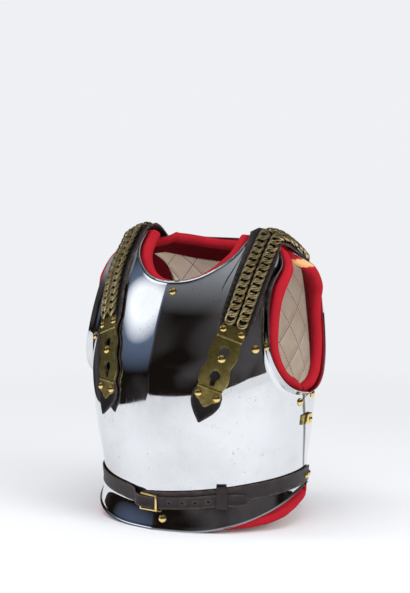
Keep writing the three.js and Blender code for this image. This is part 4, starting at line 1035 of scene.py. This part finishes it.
# Waist belt: middle by degrees, level, how far off its own seat it runs, and half width
BELT_SEAT = 1.2
BELT_OVER = 3
BELT_OVER_BAR = 7.2
BELT_HALF = 12
FREE_HALF = 10
BELTS = {
    "right": [
        (-118, 65.5, 0, 7), (-116.5, 66, 0, 11), (-110, 67, 0, BELT_HALF), (-90, 66, 0, BELT_HALF),
        (-60, 61.1, 0, BELT_HALF), (-36, 54, 0, BELT_HALF), (-20, 49, 0, BELT_HALF),
        (-14.5, 46.5, 0.6, 11.5), (-10.4, 42, BELT_OVER_BAR, 10.6),
        (-7.4, 40, BELT_OVER_BAR + 0.2, FREE_HALF), (-4, 39.5, 4.6, FREE_HALF),
        (-0.8, 39.5, BELT_OVER, FREE_HALF), (6, 40.5, BELT_OVER, FREE_HALF),
        (20, 43.5, BELT_OVER, FREE_HALF), (36, 48, BELT_OVER, FREE_HALF),
        (48, 48.5, BELT_OVER, 9.4), (51.5, 48, BELT_OVER, 6.4), (53, 47.6, BELT_OVER, 1.5),
    ],
    "left": [
        (-9.4, 43, 0, 10.5), (-0.8, 44.5, 0, BELT_HALF), (6, 45.6, 0, BELT_HALF),
        (20, 49, 0, BELT_HALF), (36, 54, 0, BELT_HALF), (48, 57.8, 0, BELT_HALF),
        (60, 61.1, 0, BELT_HALF), (90, 66, 0, BELT_HALF), (110, 67, 0, BELT_HALF),
        (116.5, 66, 0, 11), (118, 65.5, 0, 7),
    ],
}
BELT_MM_PER_DEGREE = 2.35
BELT_HOLES = (8, 15, 22, 29)
BELT_HOLE_RADIUS = 1.9
BELT_RIVETS = (106.5, 113.5)
BELT_RIVET_LEVEL = 66
BELT_RIVET_RADIUS = 5
HOOK_STUD_PLACE = (100.4, 156)
HOOK_STUD_RADIUS = 3.6
HOOK_TOP = 4.4


def belt_map(table):
    degrees, level, off, _ = np.array(table, float).T
    level_at = gentle_curve(degrees, level)
    off_at = gentle_curve(degrees, off)

    def place(across, along, height):
        turn = np.clip(along / BELT_MM_PER_DEGREE, degrees[0], degrees[-1])
        return skin(turn, level_at(turn) + across, BELT_SEAT + off_at(turn) + height)

    return place


def belt_mesh(name, table, holes):
    degrees, _, _, half = np.array(table, float).T
    outline = outline_loop(np.stack([degrees * BELT_MM_PER_DEGREE, half], -1), 3.5)
    loops = [outline, *(round_loop(0, turn * BELT_MM_PER_DEGREE, BELT_HOLE_RADIUS) for turn in holes)]
    return cut_part(name, loops, 0, BELT_THICKNESS, 0.7, 4, belt_map(table))


# Finishes
def add_node(tree, kind, inputs=None, **settings):
    node = tree.nodes.new(kind)
    for name, value in settings.items():
        setattr(node, name, value)
    for name, value in (inputs or {}).items():
        if isinstance(value, bpy.types.NodeSocket):
            tree.links.new(value, node.inputs[name])
        else:
            node.inputs[name].default_value = value
    return node


def math_node(tree, operation, a, b=0.0):
    node = add_node(tree, "ShaderNodeMath", {0: a, 1: b}, operation=operation)
    return node.outputs[0]


def mix_colour(tree, share, first, second):
    node = add_node(tree, "ShaderNodeMix", {0: share, 6: first, 7: second}, data_type="RGBA")
    return node.outputs[2]


def mask_range(tree, value, low, high):
    inputs = {"Value": value, "From Min": low, "From Max": high}
    return add_node(tree, "ShaderNodeMapRange", inputs).outputs["Result"]


def colour(text):
    values = [int(text[k:k + 2], 16) / 255 for k in (0, 2, 4)]
    return (*(value / 12.92 if value <= 0.04045 else ((value + 0.055) / 1.055) ** 2.4 for value in values), 1)


def shader_group(name, inputs, output):
    tree = bpy.data.node_groups.new(name, "ShaderNodeTree")
    tree.interface.new_socket("Position", in_out="INPUT", socket_type="NodeSocketVector")
    for label, value in inputs:
        socket = tree.interface.new_socket(label, in_out="INPUT", socket_type="NodeSocketFloat")
        socket.default_value = value
    tree.interface.new_socket(output, in_out="OUTPUT", socket_type="NodeSocketFloat")
    return tree, tree.nodes.new("NodeGroupInput").outputs, tree.nodes.new("NodeGroupOutput").inputs


# Patches of tarnish, dirt or wear, also used to break up the leather's painted edge highlight: noise cut
# between two levels
def patches_group():
    tree, given, result = shader_group("patches", [("Scale", 20), ("From", 0.5), ("To", 0.7)], "Mask")
    field = add_node(tree, "ShaderNodeTexNoise", {
        "Vector": given["Position"], "Scale": given["Scale"], "Detail": 6.0, "Roughness": 0.62})
    mask = mask_range(tree, field.outputs["Fac"], given["From"], given["To"])
    tree.links.new(mask, result["Mask"])
    return tree


# Fine polishing scratches that run in two slanting ways
def scratches_group():
    tree, given, result = shader_group("scratches", [("Scale", 60), ("Cut", 0.62)], "Mask")
    marks = []
    for slant, stretch in ((0.5, (14.0, 14.0, 0.35)), (-0.9, (9.0, 9.0, 0.5))):
        turned = add_node(tree, "ShaderNodeMapping", {
            "Vector": given["Position"], "Rotation": (slant, slant * 0.6, 0), "Scale": stretch})
        field = add_node(tree, "ShaderNodeTexNoise", {
            "Vector": turned.outputs["Vector"], "Scale": given["Scale"], "Detail": 2.0})
        marks.append(mask_range(tree, field.outputs["Fac"], given["Cut"], 0.8))
    tree.links.new(math_node(tree, "MAXIMUM", *marks), result["Mask"])
    return tree


# Pebbled or felted grain
def grain_group():
    tree, given, result = shader_group("grain", [("Scale", 400), ("Detail", 4)], "Height")
    field = add_node(tree, "ShaderNodeTexNoise", {
        "Vector": given["Position"], "Scale": given["Scale"], "Detail": given["Detail"], "Roughness": 0.65})
    tree.links.new(field.outputs["Fac"], result["Height"])
    return tree


# Plain weave: two crossing sets of threads
def weave_group():
    tree, given, result = shader_group("weave", [("Threads", 900)], "Height")
    split = add_node(tree, "ShaderNodeSeparateXYZ", {"Vector": given["Position"]})
    waves = [
        math_node(tree, "SINE", math_node(tree, "MULTIPLY", split.outputs[axis], given["Threads"]))
        for axis in (0, 1)
    ]
    tree.links.new(math_node(tree, "MULTIPLY", *waves), result["Height"])
    return tree


PATCHES = patches_group()
SCRATCHES = scratches_group()
GRAIN = grain_group()
WEAVE = weave_group()


class Finish:
    def __init__(self, name, roughness, metallic=0.0):
        self.material = bpy.data.materials.new(name)
        self.material.use_nodes = True
        self.tree = self.material.node_tree
        self.shader = self.tree.nodes["Principled BSDF"]
        self.shader.inputs["Roughness"].default_value = roughness
        self.shader.inputs["Metallic"].default_value = metallic
        places = self.tree.nodes.new("ShaderNodeTexCoord")
        self.position = places.outputs["Object"]
        self.surface = places.outputs["UV"]

    def effect(self, group, position=None, **values):
        inputs = {"Position": position or self.position}
        inputs.update({name.capitalize(): value for name, value in values.items()})
        node = self.tree.nodes.new("ShaderNodeGroup")
        node.node_tree = group
        for name, value in inputs.items():
            if isinstance(value, bpy.types.NodeSocket):
                self.tree.links.new(value, node.inputs[name])
            else:
                node.inputs[name].default_value = value
        return node.outputs[0]

    def attribute(self, name):
        return add_node(self.tree, "ShaderNodeAttribute", attribute_name=name).outputs["Fac"]

    def math(self, operation, a, b=0.0):
        return math_node(self.tree, operation, a, b)

    def mix(self, share, first, second):
        return mix_colour(self.tree, share, first, second)

    def put(self, **values):
        for name, value in values.items():
            self.tree.links.new(value, self.shader.inputs[name.replace("_", " ")])

    def bump(self, height, depth, strength=1.0, under=None):
        inputs = {"Height": height, "Distance": depth * MM, "Strength": strength}
        if under:
            inputs["Normal"] = under
        return add_node(self.tree, "ShaderNodeBump", inputs).outputs["Normal"]


def steel_finish():
    steel = Finish("mirror_steel", 0.05, 1.0)
    smudges = steel.effect(PATCHES, scale=9, **{"from": 0.42, "to": 0.75})
    marks = steel.effect(SCRATCHES, scale=55, cut=0.63)
    pits = steel.effect(PATCHES, scale=240, **{"from": 0.62, "to": 0.72})
    dull = steel.math("MULTIPLY", steel.effect(PATCHES, scale=14, **{"from": 0.4, "to": 0.66}), pits)
    clean = steel.mix(smudges, colour("E6E8EA"), colour("D3D4D6"))
    marked = steel.mix(dull, clean, colour("77706A"))
    seam = steel.math("MULTIPLY", steel.attribute("seam"), 0.85)
    steel.put(Base_Color=steel.mix(seam, marked, colour("2B2624")))
    rough = steel.math("ADD", steel.math("MULTIPLY", smudges, 0.05), 0.025)
    rough = steel.math("ADD", rough, steel.math("MULTIPLY", marks, 0.09))
    steel.put(Roughness=steel.math("ADD", rough, steel.math("MULTIPLY", dull, 0.35)))
    hand_work = steel.effect(GRAIN, scale=11, detail=1)
    steel.put(Normal=steel.bump(marks, -0.004, 0.5, steel.bump(hand_work, 0.35, 0.5)))
    return steel.material


def brass_finish(name, bright, dark, roughness, tarnish, grime):
    brass = Finish(name, roughness, 1.0)
    patches = brass.effect(PATCHES, scale=70, **{"from": tarnish, "to": tarnish + 0.22})
    spots = brass.effect(PATCHES, scale=420, **{"from": 0.6, "to": 0.72})
    worn = brass.mix(patches, colour(bright), colour(dark))
    brass.put(Base_Color=brass.mix(brass.math("MULTIPLY", spots, grime), worn, colour("2A2210")))
    marks = brass.effect(SCRATCHES, scale=120, cut=0.6)
    rough = brass.math("ADD", brass.math("MULTIPLY", patches, 0.14), roughness)
    brass.put(Roughness=brass.math("ADD", rough, brass.math("MULTIPLY", marks, 0.1)))
    brass.put(Normal=brass.bump(brass.effect(GRAIN, scale=500, detail=3), 0.05, 0.5))
    return brass.material


def leather_finish(name, dark, worn, roughness, scuffs):
    leather = Finish(name, roughness)
    rubbed = leather.effect(PATCHES, scale=34, **{"from": 0.48, "to": 0.78})
    rubbed = leather.math("MULTIPLY", rubbed, scuffs)
    # The rounded edges are painted lighter: a painted highlight where the edge catches light, broken into
    # patches like wear
    edge = leather.math("MULTIPLY", leather.attribute("edge"), leather.effect(
        PATCHES, scale=110, **{"from": 0.3, "to": 0.6}))
    base = leather.mix(rubbed, colour(dark), colour(worn))
    leather.put(Base_Color=leather.mix(leather.math("MULTIPLY", edge, 0.5), base, colour("6E6058")))
    rough = leather.math("ADD", leather.math("MULTIPLY", rubbed, 0.2), roughness)
    leather.put(Roughness=rough)
    pebbles = leather.effect(GRAIN, scale=900, detail=5)
    folds = leather.effect(GRAIN, scale=60, detail=3)
    leather.put(Normal=leather.bump(pebbles, 0.22, 0.7, leather.bump(folds, 0.9, 0.5)))
    leather.shader.inputs["Specular IOR Level"].default_value = 0.45
    return leather.material


# Where the wool has torn away from the canvas under it
TORN_AT = (151.5, 41, 391)
TORN_SIZE = (40, 40, 5.5)


def wool_finish():
    wool = Finish("red_wool", 0.95)
    wool.shader.inputs["Sheen Weight"].default_value = 0.25
    wool.shader.inputs["Sheen Roughness"].default_value = 0.5
    wool.shader.inputs["Sheen Tint"].default_value = colour("E0303C")
    wool.shader.inputs["Specular IOR Level"].default_value = 0.15
    faded = wool.effect(PATCHES, scale=26, **{"from": 0.35, "to": 0.75})
    felt = wool.effect(GRAIN, scale=1500, detail=3)
    on_roll = wool.attribute("roll")
    roll = wool.mix(faded, colour("AE1826"), colour("92121E"))
    roll = wool.mix(wool.math("MULTIPLY", felt, 0.35), roll, colour("C43540"))
    # The facing is the same wool painted in a darker crimson than the roll: painted shade, for the facing
    # lies inside in shadow
    facing = wool.mix(faded, colour("6A0E1A"), colour("520A14"))
    base = wool.mix(on_roll, facing, roll)
    centred = add_node(wool.tree, "ShaderNodeMapping", {
        "Vector": wool.position, "Location": tuple(-MM * at for at in TORN_AT)}).outputs["Vector"]
    ragged = add_node(wool.tree, "ShaderNodeTexNoise", {
        "Vector": wool.position, "Scale": 220.0, "Detail": 3.0}).outputs["Color"]
    shifted = add_node(wool.tree, "ShaderNodeVectorMath", {
        0: ragged, 1: (0.006, 0.006, 0.006), 2: centred}, operation="MULTIPLY_ADD").outputs[0]
    scaled = add_node(wool.tree, "ShaderNodeVectorMath", {
        0: shifted, 1: tuple(1 / (MM * size) for size in TORN_SIZE)}, operation="MULTIPLY").outputs[0]
    distance = add_node(wool.tree, "ShaderNodeVectorMath", {0: scaled}, operation="LENGTH").outputs["Value"]
    torn = mask_range(wool.tree, distance, 1.25, 0.95)
    wool.put(Base_Color=wool.mix(torn, base, colour("E9B27C")))
    soft = wool.effect(GRAIN, scale=120, detail=4)
    wool.put(Normal=wool.bump(felt, 0.5, 0.8, wool.bump(soft, 0.9, 0.5)))
    return wool.material


def canvas_finish():
    canvas = Finish("quilted_canvas", 0.95)
    canvas.shader.inputs["Specular IOR Level"].default_value = 0.15
    stained = canvas.effect(PATCHES, scale=16, **{"from": 0.4, "to": 0.8})
    base = canvas.mix(stained, colour("FFF6E6"), colour("EBDABD"))
    split = add_node(canvas.tree, "ShaderNodeSeparateXYZ", {"Vector": canvas.surface})
    across = canvas.math("DIVIDE", split.outputs[0], QUILT_ACROSS * MM)
    up = canvas.math("DIVIDE", split.outputs[1], QUILT_UP * MM)
    lines = []
    for operation in ("ADD", "SUBTRACT"):
        share = canvas.math("FRACT", canvas.math("ADD", canvas.math(operation, across, up), 100.5))
        lines.append(canvas.math("ABSOLUTE", canvas.math("SUBTRACT", share, 0.5)))
    seam = mask_range(canvas.tree, canvas.math("MINIMUM", *lines), 0.022, 0.008)
    dash = canvas.math("FRACT", canvas.math("MULTIPLY", split.outputs[1], 260.0))
    stitch = canvas.math("MULTIPLY", seam, mask_range(canvas.tree, dash, 0.25, 0.35))
    canvas.put(Base_Color=canvas.mix(stitch, base, colour("7A3A38")))
    threads = canvas.effect(WEAVE, position=canvas.surface, threads=3600)
    rumples = canvas.effect(GRAIN, scale=70, detail=4)
    canvas.put(Normal=canvas.bump(threads, 0.18, 0.5, canvas.bump(rumples, 1.6, 0.5)))
    return canvas.material


STEEL = steel_finish()
OLIVE_BRASS = brass_finish("olive_brass", "B8A768", "8A7A42", 0.4, 0.4, 0.45)
BRIGHT_BRASS = brass_finish("bright_brass", "F3D58C", "DDB869", 0.2, 0.55, 0.2)
CHAIN_BRASS = brass_finish("chain_brass", "F6E3B0", "BFA66C", 0.38, 0.45, 0.5)
STRAP_LEATHER = leather_finish("strap_leather", "100D0F", "2A2425", 0.5, 0.3)
BELT_LEATHER = leather_finish("belt_leather", "231B1D", "4A3936", 0.5, 0.6)
WOOL = wool_finish()
CANVAS = canvas_finish()

# The pieces
for side_name, patch, canvas, thickness in (
        ("breast", breast, breast_canvas, BREAST_THICKNESS), ("back", back, back_canvas, BACK_THICKNESS)):
    name = side_name + "plate_polished"
    new_piece(name, plate_mesh(name, patch, thickness), STEEL, [side_name + "plate"])
    name = side_name + "_edging_wool"
    edging = new_piece(
        name, edging_mesh(name, patch, canvas, thickness), WOOL, [side_name + "_edging"])
    name = side_name + "_lining_quilted"
    lining = new_piece(name, lining_mesh(name, canvas, thickness), CANVAS, [side_name + "_lining"])

stud = stud_mesh()
ring = link_mesh()
for side_name, line in STRAP_LINES.items():
    place = strap_map(line, side_name == "right")
    keyholes = [keyhole_loop(along) for along in KEYHOLES]
    name = "strap_leather_" + side_name
    leather = cut_part(
        name, [outline_loop(LEATHER_OUTLINE, 3), *keyholes], STRAP_SEAT, LEATHER_TOP, 0.9, 4.5, place)
    new_piece(name, leather, STRAP_LEATHER, ["shoulder_strap_" + side_name])
    name = "keyhole_brass_" + side_name
    rib_rows = [rib + share * RIB_HALF for rib in RIBS for share in RIB_SHARES]
    brass = cut_part(
        name, [outline_loop(BRASS_OUTLINE, 0.8), *keyholes], BRASS_SEAT, BRASS_TOP, 0.4, 3, place,
        rib_rise, rib_rows)
    new_piece(name, brass, OLIVE_BRASS, ["keyhole_plate_" + side_name])
    name = "chain_links_" + side_name
    links = copies_mesh(name, chain_seats(place), ring, 1.0, CHAIN_BRASS)
    new_piece(name, links, CHAIN_BRASS, ["chains_" + side_name])
    seats = []
    nodes = []
    for pair, along in STRAP_STUD_ROWS.items():
        for edge, across in (("inner", -1), ("outer", 1)):
            seats.append(strap_seat(place, across * STRAP_STUD_ACROSS, along, BRASS_TOP + SEAT_GAP))
            nodes.append(f"strap_stud_{pair}_{edge}_{side_name}")
    name = "strap_studs_" + side_name
    studs = copies_mesh(name, seats, stud, STRAP_STUD_SIZE, BRIGHT_BRASS)
    new_piece(name, studs, BRIGHT_BRASS, nodes)
    name = "keyhole_stud_domed_" + side_name
    seat = strap_seat(place, 0, KEYHOLES[0] + KEYHOLE_STUD_DROP, BRASS_TOP + SEAT_GAP)
    studs = copies_mesh(name, [seat], stud_mesh(BRASS_TOP), KEYHOLE_STUD_SIZE, BRIGHT_BRASS)
    new_piece(name, studs, BRIGHT_BRASS, ["keyhole_stud_" + side_name])
    name = "strap_anchor_brass_" + side_name
    anchor = softened(name, ["strap_anchor_" + side_name], 0.4)
    new_piece(name, anchor, OLIVE_BRASS, ["strap_anchor_" + side_name])

PLATE_STUDS = {
    "neck_stud": (3.7, 351), "flange_stud": (4.3, 17), "armhole_stud_left": (53, 272),
    "armhole_stud_right": (-53, 272), "side_stud_left": (88, 186), "side_stud_right": (-88, 186),
    "back_stud_left": (103, 193), "back_stud_right": (-103, 193),
}
for node, (degrees, level) in PLATE_STUDS.items():
    name = node + "_domed"
    mesh = copies_mesh(name, [plate_seat(degrees, level, SEAT_GAP)], stud, 1.0, BRIGHT_BRASS)
    new_piece(name, mesh, BRIGHT_BRASS, [node])

for side_name, table in BELTS.items():
    name = "belt_leather_" + side_name
    holes = BELT_HOLES if side_name == "right" else ()
    new_piece(name, belt_mesh(name, table, holes), BELT_LEATHER, ["waist_belt_" + side_name])
    sign = 1 if side_name == "left" else -1
    on_belt = BELT_SEAT + BELT_THICKNESS + SEAT_GAP
    seats = [plate_seat(sign * degrees, BELT_RIVET_LEVEL, on_belt) for degrees in BELT_RIVETS]
    name = "belt_rivets_" + side_name
    rivets = copies_mesh(name, seats, stud, BELT_RIVET_RADIUS / STUD_RADIUS, BRIGHT_BRASS)
    nodes = [f"belt_rivet_{side_name}_{k}" for k in (1, 2)]
    new_piece(name, rivets, BRIGHT_BRASS, nodes)
    for part, edge, finish, slot in (
            ("side_eye", 0.35, OLIVE_BRASS, "brass"), ("side_hook", 0.7, BRIGHT_BRASS, "bright_brass")):
        node = f"{part}_{side_name}"
        new_piece(node + "_brass", softened(node + "_brass", [node], edge), finish, [node])
    name = "side_hook_stud_domed_" + side_name
    hook_degrees, hook_level = HOOK_STUD_PLACE
    seat = plate_seat(sign * hook_degrees, hook_level, HOOK_TOP + SEAT_GAP)
    mesh = copies_mesh(name, [seat], stud, HOOK_STUD_RADIUS / STUD_RADIUS, BRIGHT_BRASS)
    new_piece(name, mesh, BRIGHT_BRASS, ["side_hook_stud_" + side_name])
new_piece(
    "belt_buckle_brass", softened("belt_buckle_brass", ["belt_buckle"], 0.8), BRIGHT_BRASS,
    ["belt_buckle"])
keeper = softened("belt_keeper_leather", ["belt_keeper"], 0.4)
new_piece("belt_keeper_leather", keeper, BELT_LEATHER, ["belt_keeper"])


# Studio: a pale floor that fades into a pale backdrop. In the steel's mirror image the floor ends
# at the table's edges, with a dark room and one soft light beyond them.
TABLE_FRONT = -1.75
TABLE_LEFT = -0.95
TABLE_RIGHT = 3.2
FLOOR_SIDE = 60
FADE_FROM = 0.35
FADE_TO = 1.5
BACKDROP = "EEF0F3"
SOFTBOX_WAY = (-0.792, -0.353, 0.498)
SOFTBOX_SPREAD = (0.994, 0.976)
HALO_SPREAD = (0.98, 0.88)
HALO_SHARE = 0.55
SOFTBOX_GLOW = (1.25, 1.28, 1.34, 1)
CEILING_FROM_TO = (0.62, 0.95)
CEILING_SHARE = 0.75


def floor_finish():
    table = Finish("pale_table", 0.75)
    table.shader.inputs["Specular IOR Level"].default_value = 0.1
    split = add_node(table.tree, "ShaderNodeSeparateXYZ", {"Vector": table.position})
    past = [
        table.math("LESS_THAN", split.outputs[1], TABLE_FRONT),
        table.math("LESS_THAN", split.outputs[0], TABLE_LEFT),
        table.math("GREATER_THAN", split.outputs[0], TABLE_RIGHT),
    ]
    outside = table.math("MAXIMUM", table.math("MAXIMUM", past[0], past[1]), past[2])
    mirrored_ray = table.tree.nodes.new("ShaderNodeLightPath").outputs["Is Glossy Ray"]
    hidden = table.math("MULTIPLY", outside, mirrored_ray)
    table.put(Alpha=table.math("SUBTRACT", 1.0, hidden))
    far = add_node(table.tree, "ShaderNodeVectorMath", {0: table.position}, operation="LENGTH")
    fade = mask_range(table.tree, far.outputs["Value"], FADE_FROM, FADE_TO)
    table.shader.inputs["Emission Color"].default_value = colour(BACKDROP)
    table.put(Emission_Strength=fade)
    table.put(Base_Color=table.mix(fade, colour("F7F8FA"), (0, 0, 0, 1)))
    return table.material


table_mesh = bpy.data.meshes.new("table_top")
signs = [(-1, -1), (1, -1), (1, 1), (-1, 1)]
corners = [(x * FLOOR_SIDE, y * FLOOR_SIDE, 0) for x, y in signs]
table_mesh.from_pydata(corners, [], [(0, 1, 2, 3)])
table_mesh.materials.append(floor_finish())
table_top = bpy.data.objects.new("table_top", table_mesh)
bpy.context.scene.collection.objects.link(table_top)


def studio_world():
    world = bpy.data.worlds.new("studio")
    world.use_nodes = True
    tree = world.node_tree
    tree.nodes.clear()
    rays = tree.nodes.new("ShaderNodeLightPath")
    direction = tree.nodes.new("ShaderNodeTexCoord").outputs["Generated"]
    haze = add_node(tree, "ShaderNodeTexNoise", {"Vector": direction, "Scale": 1.6, "Detail": 2.0})
    share = mask_range(tree, haze.outputs["Fac"], 0.42, 0.68)
    room = mix_colour(tree, share, colour("17120F"), colour("4E4B4C"))
    split = add_node(tree, "ShaderNodeSeparateXYZ", {"Vector": direction})
    high = mask_range(tree, split.outputs[2], *CEILING_FROM_TO)
    room = mix_colour(tree, math_node(tree, "MULTIPLY", high, CEILING_SHARE), room, colour("B9BCC2"))
    inputs = {0: direction, 1: SOFTBOX_WAY}
    facing = add_node(tree, "ShaderNodeVectorMath", inputs, operation="DOT_PRODUCT").outputs["Value"]
    halo = mask_range(tree, facing, HALO_SPREAD[1], HALO_SPREAD[0])
    room = mix_colour(tree, math_node(tree, "MULTIPLY", halo, HALO_SHARE), room, colour("7F93B4"))
    glow = mask_range(tree, facing, SOFTBOX_SPREAD[1], SOFTBOX_SPREAD[0])
    room = mix_colour(tree, glow, room, SOFTBOX_GLOW)
    around = mix_colour(tree, rays.outputs["Is Glossy Ray"], (0.42, 0.43, 0.45, 1), room)
    seen = mix_colour(tree, rays.outputs["Is Camera Ray"], around, colour(BACKDROP))
    background = add_node(tree, "ShaderNodeBackground", {"Color": seen})
    output = tree.nodes.new("ShaderNodeOutputWorld")
    tree.links.new(background.outputs[0], output.inputs["Surface"])
    bpy.context.scene.world = world


def softbox(name, place, aim, size, energy):
    light = bpy.data.lights.new(name, "AREA")
    light.shape = "RECTANGLE"
    light.size, light.size_y = size
    light.energy = energy
    lamp = bpy.data.objects.new(name, light)
    lamp.location = place
    lamp.rotation_euler = (Vector(aim) - Vector(place)).to_track_quat("-Z", "Y").to_euler()
    lamp.visible_camera = False
    lamp.visible_glossy = False
    bpy.context.scene.collection.objects.link(lamp)


CHEST = (0, 0, 0.28)
studio_world()
softbox("softbox_left", (-2.25, -0.95, 0.95), CHEST, (1.0, 1.3), 20)
softbox("overhead_wide", (0.4, -1.0, 2.9), CHEST, (3.0, 3.0), 52)
softbox("fill_right", (2.5, -0.5, 1.3), CHEST, (1.4, 1.4), 40)

# Camera fitted to the photo's outline
CAMERA_PLACE = Vector((1.58084, -2.52802, 0.67158))
CAMERA_AIM = Vector((0.0013, -0.00023, 0.33197))
SENSOR = 36
LENS = 120.2
camera_data = bpy.data.cameras.new("photo_camera")
camera_data.sensor_fit = "VERTICAL"
camera_data.sensor_height = SENSOR
camera_data.sensor_width = SENSOR
camera_data.lens = LENS
camera = bpy.data.objects.new("photo_camera", camera_data)
camera.location = CAMERA_PLACE
camera.rotation_euler = (CAMERA_AIM - CAMERA_PLACE).to_track_quat("-Z", "Y").to_euler()
bpy.context.scene.collection.objects.link(camera)
bpy.context.scene.camera = camera
bpy.context.scene.view_settings.view_transform = "Standard"
